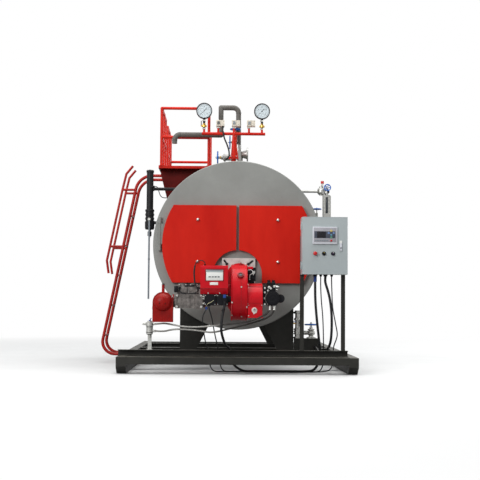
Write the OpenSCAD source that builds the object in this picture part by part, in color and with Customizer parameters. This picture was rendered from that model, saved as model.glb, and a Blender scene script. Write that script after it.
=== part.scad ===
// Horizontal fire-tube steam boiler on a skid, with a dual-fuel burner.
// Lengths are in millimetres. Heights are measured from the ground. Inside placed(),
// x = 0 is the boiler's axis and y = 0 is the face of the round front plate, with
// the burner and the cabinet at negative y and the shell at positive y.

/* [Drum] */
// Radius of the round front plate
front_r = 900; // [870:5:940]
// Height of the boiler's axis above the ground
axis_z = 1338; // [1320:2:1380]
// Length of the shell between its two end plates
drum_len = 3200; // [2900:50:3800]
// Step from the rim of the front plate in to the shell
rim_step = 15; // [8:1:25]
// Wall of the shell
drum_wall = 14; // [8:1:20]
// Thickness of the front plate
front_t = 40; // [25:1:60]
// Thickness of the rear plate
rear_t = 24; // [16:1:40]
// Depth of the gas chamber behind the front doors
chamber_d = 220; // [160:10:300]
// Outer radius of a smoke tube's end
tube_r = 30; // [20:1:34]
// Pitch of the smoke tubes
tube_pitch = 104; // [100:2:140]

/* [Rear end] */
// Radius of the rear smoke box
rear_box_r = 780; // [700:10:840]
// Depth of the rear smoke box
rear_box_d = 210; // [150:10:300]
// Inner radius of the flue outlet
flue_r = 160; // [120:5:200]
// Length of the flue outlet
flue_len = 130; // [90:5:200]
// Height of the flue outlet above the boiler's axis
flue_up = 420; // [300:10:480]

/* [Front doors] */
// Radius of the doors' outer edge, about the boiler's axis
door_r = 800; // [780:5:820]
// Height of the doors' lower edge
door_bottom_z = 933; // [925:1:945]
// Height of the doors' straight upper edge
door_top_z = 1757; // [1700:1:1800]
// Gap between the two doors
door_gap = 30; // [16:1:40]
// Thickness of a door
door_t = 45; // [35:1:60]
// Gap between a closed door and the front plate
door_seat = 5; // [5:0.5:8]
// Radius of the arch left round the burner
arch_r = 260; // [240:5:280]
// Width of the seat that a door covers round its opening
door_lip = 45; // [35:1:60]
// Distance of a door's hinge axis from the boiler's axis
hinge_x = 828; // [824:1:840]
// Height of the middle of a door's hinge knuckle
hinge_z = 1449; // [1430:1:1470]
// Length of a door's hinge knuckle
hinge_len = 216; // [160:2:260]

/* [Burner] */
// Height of the burner's firing axis
burner_z = 1021; // [1010:1:1030]
// Distance of the burner's middle to the right of the boiler's axis
burner_x = 13; // [0:1:20]
// Reach of the burner in front of the front plate
burner_reach = 600; // [590:5:640]
// Radius of the fan housing
fan_r = 292; // [270:2:295]
// Width of the fan housing
fan_w = 168; // [150:2:180]
// Height of the fan's middle
fan_z = 829; // [820:1:840]

/* [Control cabinet] */
// Width of the cabinet
cab_w = 464; // [420:4:500]
// Height of the cabinet
cab_h = 586; // [500:5:640]
// Depth of the cabinet without its door
cab_d = 180; // [140:5:200]
// Height of the cabinet's lower edge
cab_z = 1019; // [1000:1:1040]
// Distance of the cabinet's left side from the boiler's axis
cab_x = 649; // [640:1:670]
// Width of a square post of the stand
post_w = 40; // [30:1:50]

/* [Skid] */
// Half of the skid's width
skid_half_w = 1230; // [1180:5:1280]
// Distance from the front plate to the nose of the skid
skid_nose = 500; // [460:5:560]
// Width of a runner
runner_w = 97; // [80:1:120]
// Height of a runner
runner_h = 172; // [150:2:200]
// Height of the cross beams between the runners
beam_h = 75; // [60:1:100]
// Half of a saddle's width
saddle_half_w = 610; // [580:5:640]

/* [Platform and ladder] */
// Distance of the platform's left edge from the boiler's axis
plat_left = 880; // [860:5:900]
// Distance of the platform's right edge from the boiler's axis
plat_right = 300; // [280:5:320]
// Distance from the front plate to the platform
plat_y = 500; // [450:10:600]
// Length of the platform
plat_len = 2160; // [2000:20:2400]
// Height of the platform's floor
plat_z = 2246; // [2240:2:2280]
// Height of the guard above the floor
guard_h = 650; // [500:10:1100]
// Diameter of the guard's tubes
guard_d = 33; // [26:1:42]
// Distance of the ladder's foot from the boiler's axis
ladder_foot_x = 1565; // [1540:5:1640]
// Diameter of a ladder stile
stile_d = 36; // [30:1:42]
// Clear distance between the ladder's stiles
ladder_gap = 384; // [360:4:420]
// Distance from one rung to the next
rung_pitch = 360; // [280:10:400]

/* [Gauges and valves] */
// Height of the gauge header
header_z = 2571; // [2540:2:2600]
// Diameter of the gauge header
header_d = 33; // [26:1:40]
// Outer radius of a pressure gauge
gauge_r = 87; // [70:1:95]
// Height of the gauges' middles
gauge_z = 2821; // [2800:2:2860]
// Distance from the front plate to the gauge header
header_y = 250; // [220:10:300]
// Outer diameter of the vent pipe
vent_d = 57; // [48:1:60]
// Height of the vent pipe's highest bend
vent_top_z = 2922; // [2890:2:3000]

/* [Hidden] */
$fn = 48;

// Gap left between curved seats of neighbouring fixed pieces
seat = 0.3;
// Radial clearance of a pin or stem in its bore
run = 0.05;
// Extra radius of a tube's bends and corners over its straight lengths
weld = 0.3;
// Length that a straight tube reaches into a bend
lap = 2;

drum_r = front_r - rim_step;
drum_top = axis_z + drum_r;
shell_back = front_t + drum_len;
rear_face = shell_back + rear_t;
flue_end = rear_face + rear_box_d + flue_len;

// Middle of the model in plan, so that the origin lies under the middle of its box
ladder_out = ladder_foot_x + stile_d/2;
boiler_x = (ladder_out - skid_half_w)/2;
front_y = (burner_reach - flue_end)/2;

paint_red = [0.80, 0.14, 0.10];
burner_red = [0.78, 0.10, 0.14];
frame_grey = [0.17, 0.17, 0.16];
shell_grey = [0.55, 0.55, 0.53];
panel_grey = [0.66, 0.69, 0.70];
steel = [0.62, 0.62, 0.60];
jet = [0.06, 0.06, 0.07];
wheel_blue = [0.12, 0.24, 0.50];

// Moves from the boiler's own axes to the model's origin
module placed() translate([boiler_x, front_y, 0]) children();

// Mirrors to the left for side -1 and leaves side 1 as it is
module on_side(side) mirror([side < 0 ? 1 : 0, 0, 0]) children();

// Turns upright solids to point along x or back along y
module along_x() rotate([0, 90, 0]) children();
module along_y() rotate([-90, 0, 0]) children();

// Plate of thickness t with its front at y, from an outline in x and z
module plate_at(y, t) translate([0, y + t, 0]) rotate([90, 0, 0]) linear_extrude(t) children();

// Bar of length w starting at x, from an outline in y and z
module bar_at(x, w) translate([x, 0, 0]) rotate([90, 0, 90]) linear_extrude(w) children();

// Box given by its lowest corner and its highest corner
module block(low, high) translate(low) cube(high - low);

// Straight round bar between two points
module rod(from, to, r) {
  d = to - from;
  len = norm(d);
  translate(from) rotate([0, acos(d[2]/len), atan2(d[1], d[0])]) cylinder(r = r, h = len);
}

// Point of the smooth line through p, at share t of the way from point i to the next
function on_line(p, i, t) = let (n = len(p) - 1, a = p[max(i - 1, 0)], b = p[i], c = p[i + 1], d = p[min(i + 2, n)])
  (2*b + (c - a)*t + (2*a - 5*b + 4*c - d)*t*t + (3*b - a - 3*c + d)*t*t*t)/2;

// Points along a smooth line through p, with steps from each to the next
function smooth_line(p, steps) =
  concat([for (i = [0:len(p) - 2]) for (k = [0:steps - 1]) on_line(p, i, k/steps)], [p[len(p) - 1]]);

function last(list) = list[len(list) - 1];
function unit(v) = v/norm(v);

// Headings along the smooth points q of a route p, exactly straight at its two ends
function headings(p, q) = let (n = len(q) - 1)
  [for (i = [0:n]) i == 0 ? unit(p[1] - p[0]) : i == n ? unit(last(p) - p[len(p) - 2]) : unit(q[i + 1] - q[i - 1])];

// Two directions square to each heading in h, carried along without twist
function carried(h, i, side) = i == len(h) ? [] :
  let (s = unit(side - h[i]*(side*h[i]))) concat([[s, cross(h[i], s)]], carried(h, i + 1, s));

// Round cord of radius r along a route, lying no lower than the floor
module cord(route, r, steps = 2) {
  sides = 8;
  q = [for (v = smooth_line(route, steps)) [v[0], v[1], max(v[2], r + 1)]];
  n = len(q);
  h = headings(route, q);
  f = carried(h, 0, abs(h[0][2]) > 0.7 ? [1, 0, 0] : [0, 0, 1]);
  ends = [[for (k = [0:sides - 1]) k], [for (k = [sides - 1:-1:0]) (n - 1)*sides + k]];
  walls = [for (i = [0:n - 2]) for (k = [0:sides - 1]) let (a = i*sides + k, b = i*sides + (k + 1)%sides)
    each [[a, a + sides, b + sides], [a, b + sides, b]]];
  polyhedron([for (i = [0:n - 1]) for (k = [0:sides - 1])
    q[i] + r*(cos(360*k/sides)*f[i][0] + sin(360*k/sides)*f[i][1])], concat(ends, walls));
}

// Pipe bend of a given angle, starting at the origin along +z and turning to +x
module bend(bend_r, r, angle) {
  translate([bend_r, 0, 0]) rotate([90, 0, 180]) rotate_extrude(angle = angle)
    translate([bend_r, 0]) circle(r = r + weld);
}

// Round corner where straight bars of radius r meet
module corner(at, r) translate(at) sphere(r = r + weld);

// Drum-shaped space, used to trim what lands on the shell
module drum_space(r) translate([0, front_t, axis_z]) along_y() cylinder(r = r, h = drum_len, $fn = 240);

// Cuts away what reaches into the drum, with a seat of its own
module on_drum() difference() {
  children();
  drum_space(drum_r + seat);
}

/* Skid */

module skid_runners() color(frame_grey) placed() {
  nose_h = 76;
  nose_back = 110;
  end = flue_end - 60;
  for (side = [-1, 1]) on_side(side)
    bar_at(skid_half_w - runner_w, runner_w) polygon([
      [-skid_nose, nose_h], [-skid_nose + nose_back, 0], [end - nose_back, 0],
      [end, nose_h], [end, runner_h], [-skid_nose, runner_h]]);
}

beam_half = skid_half_w - runner_w;
beam_low = runner_h - beam_h;
front_beam_d = 150;

module front_beam() color(frame_grey) placed()
  block([-beam_half, -skid_nose, beam_low], [beam_half, front_beam_d - skid_nose, runner_h]);

saddle_y = [150, drum_len - 350];
cross_d = 140;
flange_t = 10;

// I-section across the skid, middle at y
module cross_beam(y) {
  web = 8;
  bar_at(-beam_half, 2*beam_half) translate([y, beam_low]) difference() {
    translate([-cross_d/2, 0]) square([cross_d, beam_h]);
    for (side = [-1, 1]) translate([side*(cross_d/2 + web)/2 - (cross_d - web)/4 + side*web/4, flange_t])
      translate([side < 0 ? -web : 0, 0]) square([(cross_d - web)/2 + web, beam_h - 2*flange_t]);
  }
}

// Middles of the cross beams: under both saddles, halfway, and near the rear end
saddle_d = 120;
cross_y = [saddle_y[0] + saddle_d/2, front_t + drum_len/2, saddle_y[1] + saddle_d/2, flue_end - 2*cross_d];

module cross_members() color(frame_grey) placed() {
  for (y = cross_y) cross_beam(y);
  // Pedestal of the feed valves, open at the back
  left = feed_x - 36;
  right = feed_x + feed_wheel_off + 78;
  wall = 8;
  difference() {
    block([left, feed_y - pedestal_half_d, runner_h], [right, feed_y + pedestal_half_d, feed_base_z]);
    block([left + wall, feed_y - pedestal_half_d + wall, runner_h + wall],
          [right - wall, feed_y + pedestal_half_d + 1, feed_base_z - wall]);
  }
}

channel_y = -300;
channel_d = 60;
channel_h = 64;
channel_right = 1145;

module front_channel() color(frame_grey) placed()
  bar_at(-skid_half_w, skid_half_w + channel_right) translate([channel_y, runner_h]) difference() {
    square([channel_d, channel_h]);
    translate([-1, 7]) square([channel_d - 6, channel_h - 14]);
  }

// Pair of plate legs under the drum, front face at y
module saddle_legs(y) {
  foot_in = 458;
  head_in = 300;
  plate = 16;
  depth = saddle_d;
  for (side = [-1, 1]) on_side(side) on_drum() {
    plate_at(y, plate) polygon([
      [foot_in, runner_h], [saddle_half_w, runner_h], [saddle_half_w, axis_z - drum_r/2],
      [head_in, axis_z - drum_r/2], [head_in, 480]]);
    block([saddle_half_w - 12, y + plate - 1, runner_h], [saddle_half_w, y + depth, axis_z - drum_r/2]);
    block([foot_in, y + plate - 1, runner_h], [saddle_half_w - 11, y + depth, runner_h + 12]);
  }
}

module saddles() color(frame_grey) placed() {
  for (y = saddle_y) saddle_legs(y);
}

/* Drum */

module boiler_shell() color(shell_grey) placed()
  translate([0, front_t, axis_z]) along_y() difference() {
    cylinder(r = drum_r, h = drum_len, $fn = 120);
    translate([0, 0, -1]) cylinder(r = drum_r - drum_wall, h = drum_len + 2, $fn = 120);
  }

// Outline of the right door in x and z, drawn in by inset all round
module door_outline(inset) difference() {
  intersection() {
    translate([0, axis_z]) circle(r = door_r - inset, $fn = 120);
    translate([door_gap/2 + inset, door_bottom_z + inset])
      square([door_r, door_top_z - door_bottom_z - 2*inset]);
  }
  translate([0, burner_z]) circle(r = arch_r + inset);
  translate([0, burner_z - 2*arch_r]) square([arch_r + inset, 2*arch_r]);
}

chamber_wall = 12;
burner_bore_r = 135;

module front_plate() color(shell_grey) placed() {
  rim_round = 8;
  difference() {
    translate([0, 0, axis_z]) along_y() rotate_extrude($fn = 120) difference() {
      square([front_r, front_t]);
      translate([front_r - rim_round, 0]) polygon([[0, -1], [rim_round + 1, -1], [rim_round + 1, rim_round]]);
    }
    for (side = [-1, 1]) on_side(side) plate_at(-1, front_t + 2) door_outline(door_lip);
    translate([burner_x, -1, burner_z]) along_y() cylinder(r = burner_bore_r, h = front_t + 2);
  }
  for (side = [-1, 1]) on_side(side) plate_at(front_t, chamber_d) difference() {
    door_outline(door_lip - chamber_wall);
    door_outline(door_lip);
  }
}

// True where a smoke tube fits behind a door's opening
function tube_fits(x, z) = let (edge = door_lip + tube_r + 12)
  x > door_gap/2 + edge && z > door_bottom_z + edge && z < door_top_z - edge
  && norm([x, z - axis_z]) < door_r - edge && norm([x, z - burner_z]) > arch_r + edge;

tube_rows = [for (i = [0:6]) for (j = [0:9])
  [door_gap/2 + door_lip + tube_r + 20 + i*tube_pitch,
   door_bottom_z + door_lip + tube_r + 20 + j*tube_pitch]];

module tube_sheet() color(shell_grey) placed() {
  y = front_t + chamber_d;
  sheet_t = 20;
  end_out = 6;
  bore_d = 14;
  difference() {
    translate([0, y, axis_z]) along_y() cylinder(r = drum_r - drum_wall - seat, h = sheet_t, $fn = 120);
    translate([burner_x, y - 1, burner_z]) along_y() cylinder(r = burner_bore_r, h = sheet_t + 2);
    for (side = [-1, 1]) on_side(side) for (p = tube_rows) if (tube_fits(p[0], p[1]))
      translate([p[0], y - 1, p[1]]) along_y() cylinder(r = tube_r - 4, h = bore_d);
  }
  for (side = [-1, 1]) on_side(side) for (p = tube_rows) if (tube_fits(p[0], p[1]))
    translate([p[0], y - end_out, p[1]]) along_y() difference() {
      cylinder(r = tube_r, h = end_out);
      translate([0, 0, -1]) cylinder(r = tube_r - 4, h = end_out + 2);
    }
}

module rear_plate() color(shell_grey) placed()
  translate([0, shell_back, axis_z]) along_y() cylinder(r = front_r, h = rear_t, $fn = 120);

flue_flange_r = flue_r + 50;
hatch_r = 230;
flue_bolts = 8;

module rear_smoke_box() color(shell_grey) placed() {
  wall = 8;
  flange = 14;
  difference() {
    union() {
      translate([0, rear_face, axis_z]) along_y() cylinder(r = rear_box_r, h = rear_box_d, $fn = 120);
      translate([0, rear_face + rear_box_d, axis_z + flue_up]) along_y() cylinder(r = flue_r + 5, h = flue_len);
      translate([0, flue_end - flange, axis_z + flue_up]) along_y() cylinder(r = flue_flange_r, h = flange);
      translate([0, rear_face + rear_box_d, axis_z - 260]) along_y() {
        cylinder(r = hatch_r, h = 40);
        translate([0, 0, 40]) cylinder(r = hatch_r + 32, h = 16);
        translate([0, 0, 56]) cylinder(r = hatch_r + 20, h = 14);
      }
    }
    translate([0, rear_face - 1, axis_z]) along_y()
      cylinder(r = rear_box_r - wall, h = rear_box_d - wall + 1, $fn = 120);
    translate([0, rear_face + rear_box_d - wall - 1, axis_z + flue_up]) along_y()
      cylinder(r = flue_r, h = flue_len + wall + 2);
    for (i = [0:flue_bolts - 1]) translate([0, flue_end - flange - 1, axis_z + flue_up])
      along_y() rotate(i*360/flue_bolts + 22.5) translate([flue_r + 30, 0, 0]) cylinder(r = 7, h = flange + 2);
  }
}

/* Front doors */

knuckle_r = 16;
hinge_pin_r = 9;
hinge_y = -door_seat - door_t/2;
nut_x = 425;
nut_z = [1157, 1603];
liner_gap = 16;
liner_t = 45;

module door() {
  difference() {
    plate_at(-door_seat - door_t, door_t) door_outline(0);
    translate([hinge_x, hinge_y, hinge_z - hinge_len/2 - 90]) cylinder(r = knuckle_r + 6, h = hinge_len + 180);
  }
  plate_at(-door_seat - 1, liner_t + 1) door_outline(door_lip + liner_gap);
  for (z = nut_z) translate([nut_x, -door_seat - door_t, z]) rotate([90, 0, 0]) {
    cylinder(r = 21, h = 4);
    cylinder(r = 14, h = 12);
    translate([0, 0, 12]) sphere(r = 14);
  }
  difference() {
    union() {
      translate([hinge_x, hinge_y, hinge_z - hinge_len/2]) cylinder(r = knuckle_r, h = hinge_len);
      block([hinge_x - 60, hinge_y - 8, hinge_z - hinge_len/2], [hinge_x, hinge_y + 8, hinge_z + hinge_len/2]);
    }
    translate([hinge_x, hinge_y, hinge_z - hinge_len]) cylinder(r = hinge_pin_r + run, h = 2*hinge_len);
  }
}

module door_left() color(paint_red) placed() on_side(-1) door();
module door_right() color(paint_red) placed() door();

module door_hinges() color(shell_grey) placed() {
  eye_h = 66;
  gap = 4;
  for (side = [-1, 1]) on_side(side) {
    for (up = [-1, 1]) translate([hinge_x, hinge_y, hinge_z + up*(hinge_len/2 + gap + eye_h/2)]) {
      translate([0, 0, -eye_h/2]) cylinder(r = knuckle_r, h = eye_h);
      block([-12, 0, -eye_h/2], [12, -hinge_y, eye_h/2]);
    }
    translate([hinge_x, hinge_y, hinge_z - hinge_len/2 - gap - eye_h/2])
      cylinder(r = hinge_pin_r, h = hinge_len + 2*gap + eye_h);
  }
}

/* Burner */

flange_half = 176;
flange_back = -14;
flange_front = -30;

module burner_flange() color(steel) placed() difference() {
  union() {
    block([burner_x - flange_half, flange_front, burner_z - flange_half],
          [burner_x + flange_half, flange_back, burner_z + flange_half]);
    translate([burner_x, flange_back, burner_z]) along_y() cylinder(r = 160, h = -flange_back);
    translate([burner_x, 0, burner_z]) along_y() cylinder(r = burner_bore_r - 4, h = front_t + chamber_d);
  }
  translate([burner_x, 30, burner_z]) along_y() cylinder(r = burner_bore_r - 12, h = front_t + chamber_d);
  for (side = [-1, 1]) translate([burner_x + side*146, flange_front - 1, burner_z + 142])
    rotate([0, side*45, 0]) for (z = [-18, 18]) translate([0, 0, z]) along_y() cylinder(r = 7, h = 18);
}

fan_y = -burner_reach + fan_r;
gas_y = -380;
gas_z = 740;
gas_pipe_r = 44;
gas_flange_r = 66;
gas_flange_t = 14;
wire_neck_y = -492;
wire_neck_z = 762;
wire_neck_r = 30;
neck_r = 128;
neck_z = burner_z - 16;
sight_angle = 54;

module burner_housing() color(burner_red) placed() {
  x0 = burner_x - fan_w/2;
  rim_w = 12;
  rim_up = 7;
  // Fan housing between two raised rims, flat where it meets the mounting plate
  difference() {
    translate([x0, fan_y, fan_z]) along_x() rotate_extrude($fn = 96) polygon([
      [0, 0], [fan_r - 14, 0], [fan_r, 6], [fan_r, rim_w], [fan_r - rim_up, rim_w + 3],
      [fan_r - rim_up, fan_w - rim_w - 3], [fan_r, fan_w - rim_w], [fan_r, fan_w - 6], [fan_r - 14, fan_w],
      [0, fan_w]]);
    block([x0 - 1, flange_front, fan_z - fan_r], [x0 + fan_w + 1, 0, fan_z + fan_r]);
  }
  // Inlet cowl of the fan on the left, stepped in rings, with holes for the gas pipe and the wires' neck
  difference() {
    translate([x0, fan_y, fan_z - 20]) mirror([1, 0, 0]) along_x() rotate_extrude() polygon([
      [0, -1], [172, -1], [172, 10], [150, 14], [150, 24], [126, 30], [126, 44], [0, 44]]);
    translate([x0 - 50, gas_y, gas_z]) along_x() cylinder(r = gas_pipe_r + seat, h = 50);
    translate([x0 - 50, wire_neck_y, wire_neck_z]) along_x() cylinder(r = wire_neck_r + seat, h = 50);
  }
  translate([burner_x, fan_y, neck_z]) along_y() cylinder(r = neck_r, h = flange_front - fan_y);
  // Sight glass, square to the curved front
  translate([burner_x + 10, fan_y, fan_z]) rotate([sight_angle, 0, 0]) difference() {
    cylinder(r = 32, h = fan_r + 12);
    translate([0, 0, fan_r + 4]) cylinder(r = 18, h = 12);
  }
}

air_r = 177;
air_z = 748;
air_w = 150;
air_seams = [888, 719];

module burner_air_box() color(burner_red) placed() {
  x0 = burner_x + fan_w/2;
  difference() {
    union() {
      translate([x0, -394, air_z]) along_x() cylinder(r = air_r, h = air_w, $fn = 96);
      block([x0, -394, air_z - air_r], [x0 + air_w, -200, air_z + air_r]);
    }
    translate([x0 + 68, -620, air_z - 100]) along_y() cylinder(r = 46, h = 108);
    // Seams of the two cover plates
    for (z = air_seams) difference() {
      block([x0 - 1, -600, z - 2], [x0 + air_w + 1, -199, z + 2]);
      translate([x0 - 2, -394, air_z]) along_x() cylinder(r = air_r - 4, h = air_w + 4, $fn = 96);
      block([x0 + 4, -394, air_z - air_r], [x0 + air_w - 4, -198, air_z + air_r]);
    }
    translate([burner_x, fan_y, neck_z]) along_y() cylinder(r = neck_r + seat, h = -fan_y);
  }
  // Damper pointer: a teardrop in the round recess
  translate([x0 + 68, -511, air_z - 100]) rotate([90, 0, 0]) linear_extrude(34) {
    circle(r = 24);
    polygon([[-18, -16], [18, -16], [0, -42]]);
  }
}

box_front = -562;
box_back = -445;
box_low = 811;
box_high = 1100;

module burner_control_box() color(burner_red) placed() {
  x0 = -384;
  x1 = -103;
  window_x = [x0 + 55, x1 - 48];
  window_z = [box_low + 133, box_high - 39];
  seam_z = box_low + 55;
  seam_half = 2;
  rest_z = [box_low + 99, box_high - 60];
  pane_lap = 1;
  difference() {
    bar_at(x0, x1 - x0) polygon([
      [box_back, box_low], [box_front + 36, box_low], [box_front, box_low + 52], [box_front, box_high - 22],
      [box_front + 8, box_high], [box_back, box_high]]);
    block([window_x[0], box_front - 1, window_z[0]], [window_x[1], box_front + 10, window_z[1]]);
    // Seam under the lid
    block([x0 - 1, box_front - 1, seam_z - seam_half], [x1 + 1, box_front + 3, seam_z + seam_half]);
  }
  // Window pane, set back behind the frame
  block([window_x[0] - pane_lap, box_front + 4, window_z[0] - pane_lap],
        [window_x[1] + pane_lap, box_front + 11, window_z[1] + pane_lap]);
  // Rest against the fan housing
  block([x1, box_back - 40, rest_z[0]], [burner_x - fan_w/2, box_back - 10, rest_z[1]]);
}

module burner_switch_boxes() color(jet) placed() {
  low = 696;
  x1 = burner_x - fan_w/2;
  case_w = 118;
  case_x = [-341, -218];
  case_y = [box_front + 34, box_back - 5];
  lid_in = 5;
  lid_up = 12;
  // Two boxes with raised lids under the control box, and the block that joins them
  for (x = case_x) {
    block([x, case_y[0], low], [x + case_w, case_y[1], box_low]);
    block([x + lid_in, case_y[0] - lid_up, low + lid_in + 1],
          [x + case_w - lid_in, case_y[0] + 1, box_low - lid_in - 3]);
  }
  block([case_x[1] - 6, case_y[0] + 28, low + 34], [case_x[1] + 1, case_y[1] - 10, box_low - 21]);
  // Round neck to the fan housing
  neck_from = case_x[1] + case_w - 1;
  translate([neck_from, wire_neck_y, wire_neck_z]) along_x() cylinder(r = wire_neck_r, h = x1 - neck_from);
  // Servo motor on the air box, with its cover and foot
  servo_x = [104, 180];
  servo_y = [-420, -322];
  servo_z = [946, 1086];
  cover_in = 6;
  foot_in = 14;
  block([servo_x[0], servo_y[0], servo_z[0]], [servo_x[1], servo_y[1], servo_z[1]]);
  block([servo_x[0] + cover_in, servo_y[0] - 10, servo_z[0] + cover_in],
        [servo_x[1] - cover_in, servo_y[0] + 1, servo_z[1] - cover_in]);
  block([servo_x[0] + foot_in, servo_y[0] + 10, air_z + air_r],
        [servo_x[1] - foot_in, servo_y[1] - 10, servo_z[0] + 1]);
}

pump_x = 349;
pump_z = 772;
pump_low = 689;
hose_x = [320, 365];
hose_y = -550;

module oil_pump() color(jet) placed() {
  x0 = burner_x + fan_w/2 + air_w;
  // Round motor with a ringed cover towards the front
  translate([pump_x, -596, pump_z]) along_y() rotate_extrude() polygon([
    [0, 0], [22, 0], [24, 5], [48, 5], [50, 0], [60, 0], [64, 8], [73, 12], [73, 92], [68, 98], [52, 98],
    [52, 158], [0, 158]]);
  block([x0, -520, pump_z - 70], [x0 + 46, -400, pump_z + 120]);
  block([x0 + 40, -490, pump_z - 40], [pump_x, -440, pump_z + 40]);
  translate([pump_x + 78, -560, pump_z - 2]) along_y() cylinder(r = 42, h = 80);
  block([pump_x - 56, -560, pump_z + 60], [pump_x + 30, -500, pump_z + 118]);
  for (x = [pump_x - 58, pump_x - 12]) {
    block([x, -556, pump_z + 117], [x + 38, -512, pump_z + 160]);
    translate([x + 19, -534, pump_z + 159]) cylinder(r = 15, h = 25);
  }
  // Hose unions under the pump
  for (x = hose_x) translate([x, hose_y, pump_low]) {
    cylinder(r = 14, h = 60);
    translate([0, 0, 8]) cylinder(r = 19, h = 14, $fn = 6);
  }
}

gas_low = 664;
gas_high = 918;
gas_x0 = -640;
gas_x1 = -356;

module gas_valve_block() color(steel) placed() {
  mid = 811;
  rib = 6;
  block([gas_x0, -444, gas_low], [gas_x1, -310, mid]);
  // Cast ribs and corner pads of the valve body
  for (x = [gas_x0 + 60:44:gas_x1 - 60]) block([x, -450, gas_low + 14], [x + rib, -443, mid - 14]);
  for (x = [gas_x0, gas_x1 - 34], z = [gas_low, mid - 34]) block([x, -454, z], [x + 34, -443, z + 34]);
  // Two solenoid heads with their caps
  for (x = [gas_x0 + 20, gas_x0 + 136]) {
    block([x, -430, mid - 1], [x + 108, -320, gas_high - 26]);
    translate([x + 54, -375, gas_high - 27]) cylinder(r = 46, h = 27);
  }
  // Flanges at both ends
  for (x = [gas_x0 - gas_flange_t, gas_x1])
    translate([x, gas_y, gas_z]) along_x() cylinder(r = gas_flange_r, h = gas_flange_t);
}

regulator_x = -764;
regulator_y = -400;
regulator_z = 668;

module gas_regulator() color(paint_red) placed() {
  flange_x = gas_x0 - gas_flange_t;
  // Round body, with a turned cover towards the front
  translate([regulator_x, regulator_y + 70, regulator_z]) rotate([90, 0, 0]) rotate_extrude() polygon([
    [0, 0], [96, 0], [102, 8], [102, 96], [108, 100], [108, 112], [92, 118], [82, 140], [50, 152], [0, 156]]);
  block([regulator_x - 102, regulator_y - 60, 550], [regulator_x - 30, regulator_y + 60, regulator_z]);
  // Spring dome on top, between its two lugs
  translate([regulator_x, regulator_y, regulator_z]) rotate_extrude() polygon([
    [0, 0], [84, 0], [84, 108], [92, 112], [92, 122], [66, 128], [60, 148], [36, 158], [15, 162], [15, 236],
    [0, 236]]);
  for (side = [-1, 1]) block([regulator_x + side*38 - 10, regulator_y - 92, regulator_z + 40],
                             [regulator_x + side*38 + 10, regulator_y, regulator_z + 118]);
  // Outlet and its flange
  translate([regulator_x, gas_y, gas_z]) along_x() cylinder(r = gas_pipe_r + 6, h = flange_x - regulator_x - 2);
  translate([flange_x - gas_flange_t, gas_y, gas_z]) along_x() cylinder(r = gas_flange_r, h = gas_flange_t);
}

module gas_pipe() color(paint_red) placed() {
  from = gas_x1 + gas_flange_t;
  end = burner_x - fan_w/2;
  translate([from, gas_y, gas_z]) along_x() {
    cylinder(r = gas_flange_r, h = gas_flange_t);
    cylinder(r = gas_pipe_r, h = end - from);
  }
}

filter_x = -906;
filter_y = channel_y + 8;
hose_port_x = filter_x + 40;
hose_port_z = [501, 428];

module oil_filter() color(steel) placed() {
  // Bowl and head, turned about one axis
  translate([filter_x, filter_y, 0]) rotate_extrude() polygon([
    [0, 374], [12, 374], [12, 388], [26, 391], [34, 400], [34, 478], [40, 482], [40, 515], [24, 520], [24, 532],
    [0, 532]]);
  for (z = hose_port_z)
    translate([filter_x, filter_y, z]) along_x() cylinder(r = 14, h = hose_port_x - filter_x);
  translate([filter_x, filter_y, hose_port_z[0]]) mirror([1, 0, 0]) along_x() cylinder(r = 12, h = 54);
  // Bracket that stands on the channel
  block([filter_x - 20, filter_y + 30, runner_h + channel_h], [filter_x + 20, filter_y + 38, 513]);
  block([filter_x - 30, filter_y, runner_h + channel_h], [filter_x + 30, filter_y + 38, runner_h + channel_h + 6]);
}

/* Control cabinet */

cab_front = -480;
sheet = 3;
cab_door_t = 20;
cab_seat = 5;
cab_hinge_x = cab_x - 8;
cab_hinge_y = cab_front - cab_seat;
cab_hinge_r = 7;
cab_pin_r = 3;
cab_hinge_len = 40;
cab_hinge_z = [cab_z + 90, cab_z + cab_h - 90];

module cabinet_box() color(panel_grey) placed() {
  difference() {
    block([cab_x, cab_front, cab_z], [cab_x + cab_w, cab_front + cab_d, cab_z + cab_h]);
    block([cab_x + sheet, cab_front - 1, cab_z + sheet],
          [cab_x + cab_w - sheet, cab_front + cab_d - sheet, cab_z + cab_h - sheet]);
  }
  for (z = cab_hinge_z) {
    translate([cab_hinge_x, cab_hinge_y, z - cab_hinge_len]) cylinder(r = cab_hinge_r, h = cab_hinge_len);
    translate([cab_hinge_x, cab_hinge_y, z - 1]) cylinder(r = cab_pin_r, h = cab_hinge_len);
    block([cab_hinge_x - 1, cab_hinge_y, z - cab_hinge_len], [cab_hinge_x + 2, cab_front + 20, z]);
    block([cab_hinge_x - 1, cab_front + 4, z - cab_hinge_len], [cab_x + 1, cab_front + 20, z]);
  }
}

button_z = cab_z + 212;
stop_x = cab_x + 131;
mode_x = cab_x + 222;
fuel_x = cab_x + 314;
button_bore_r = 11;

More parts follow.
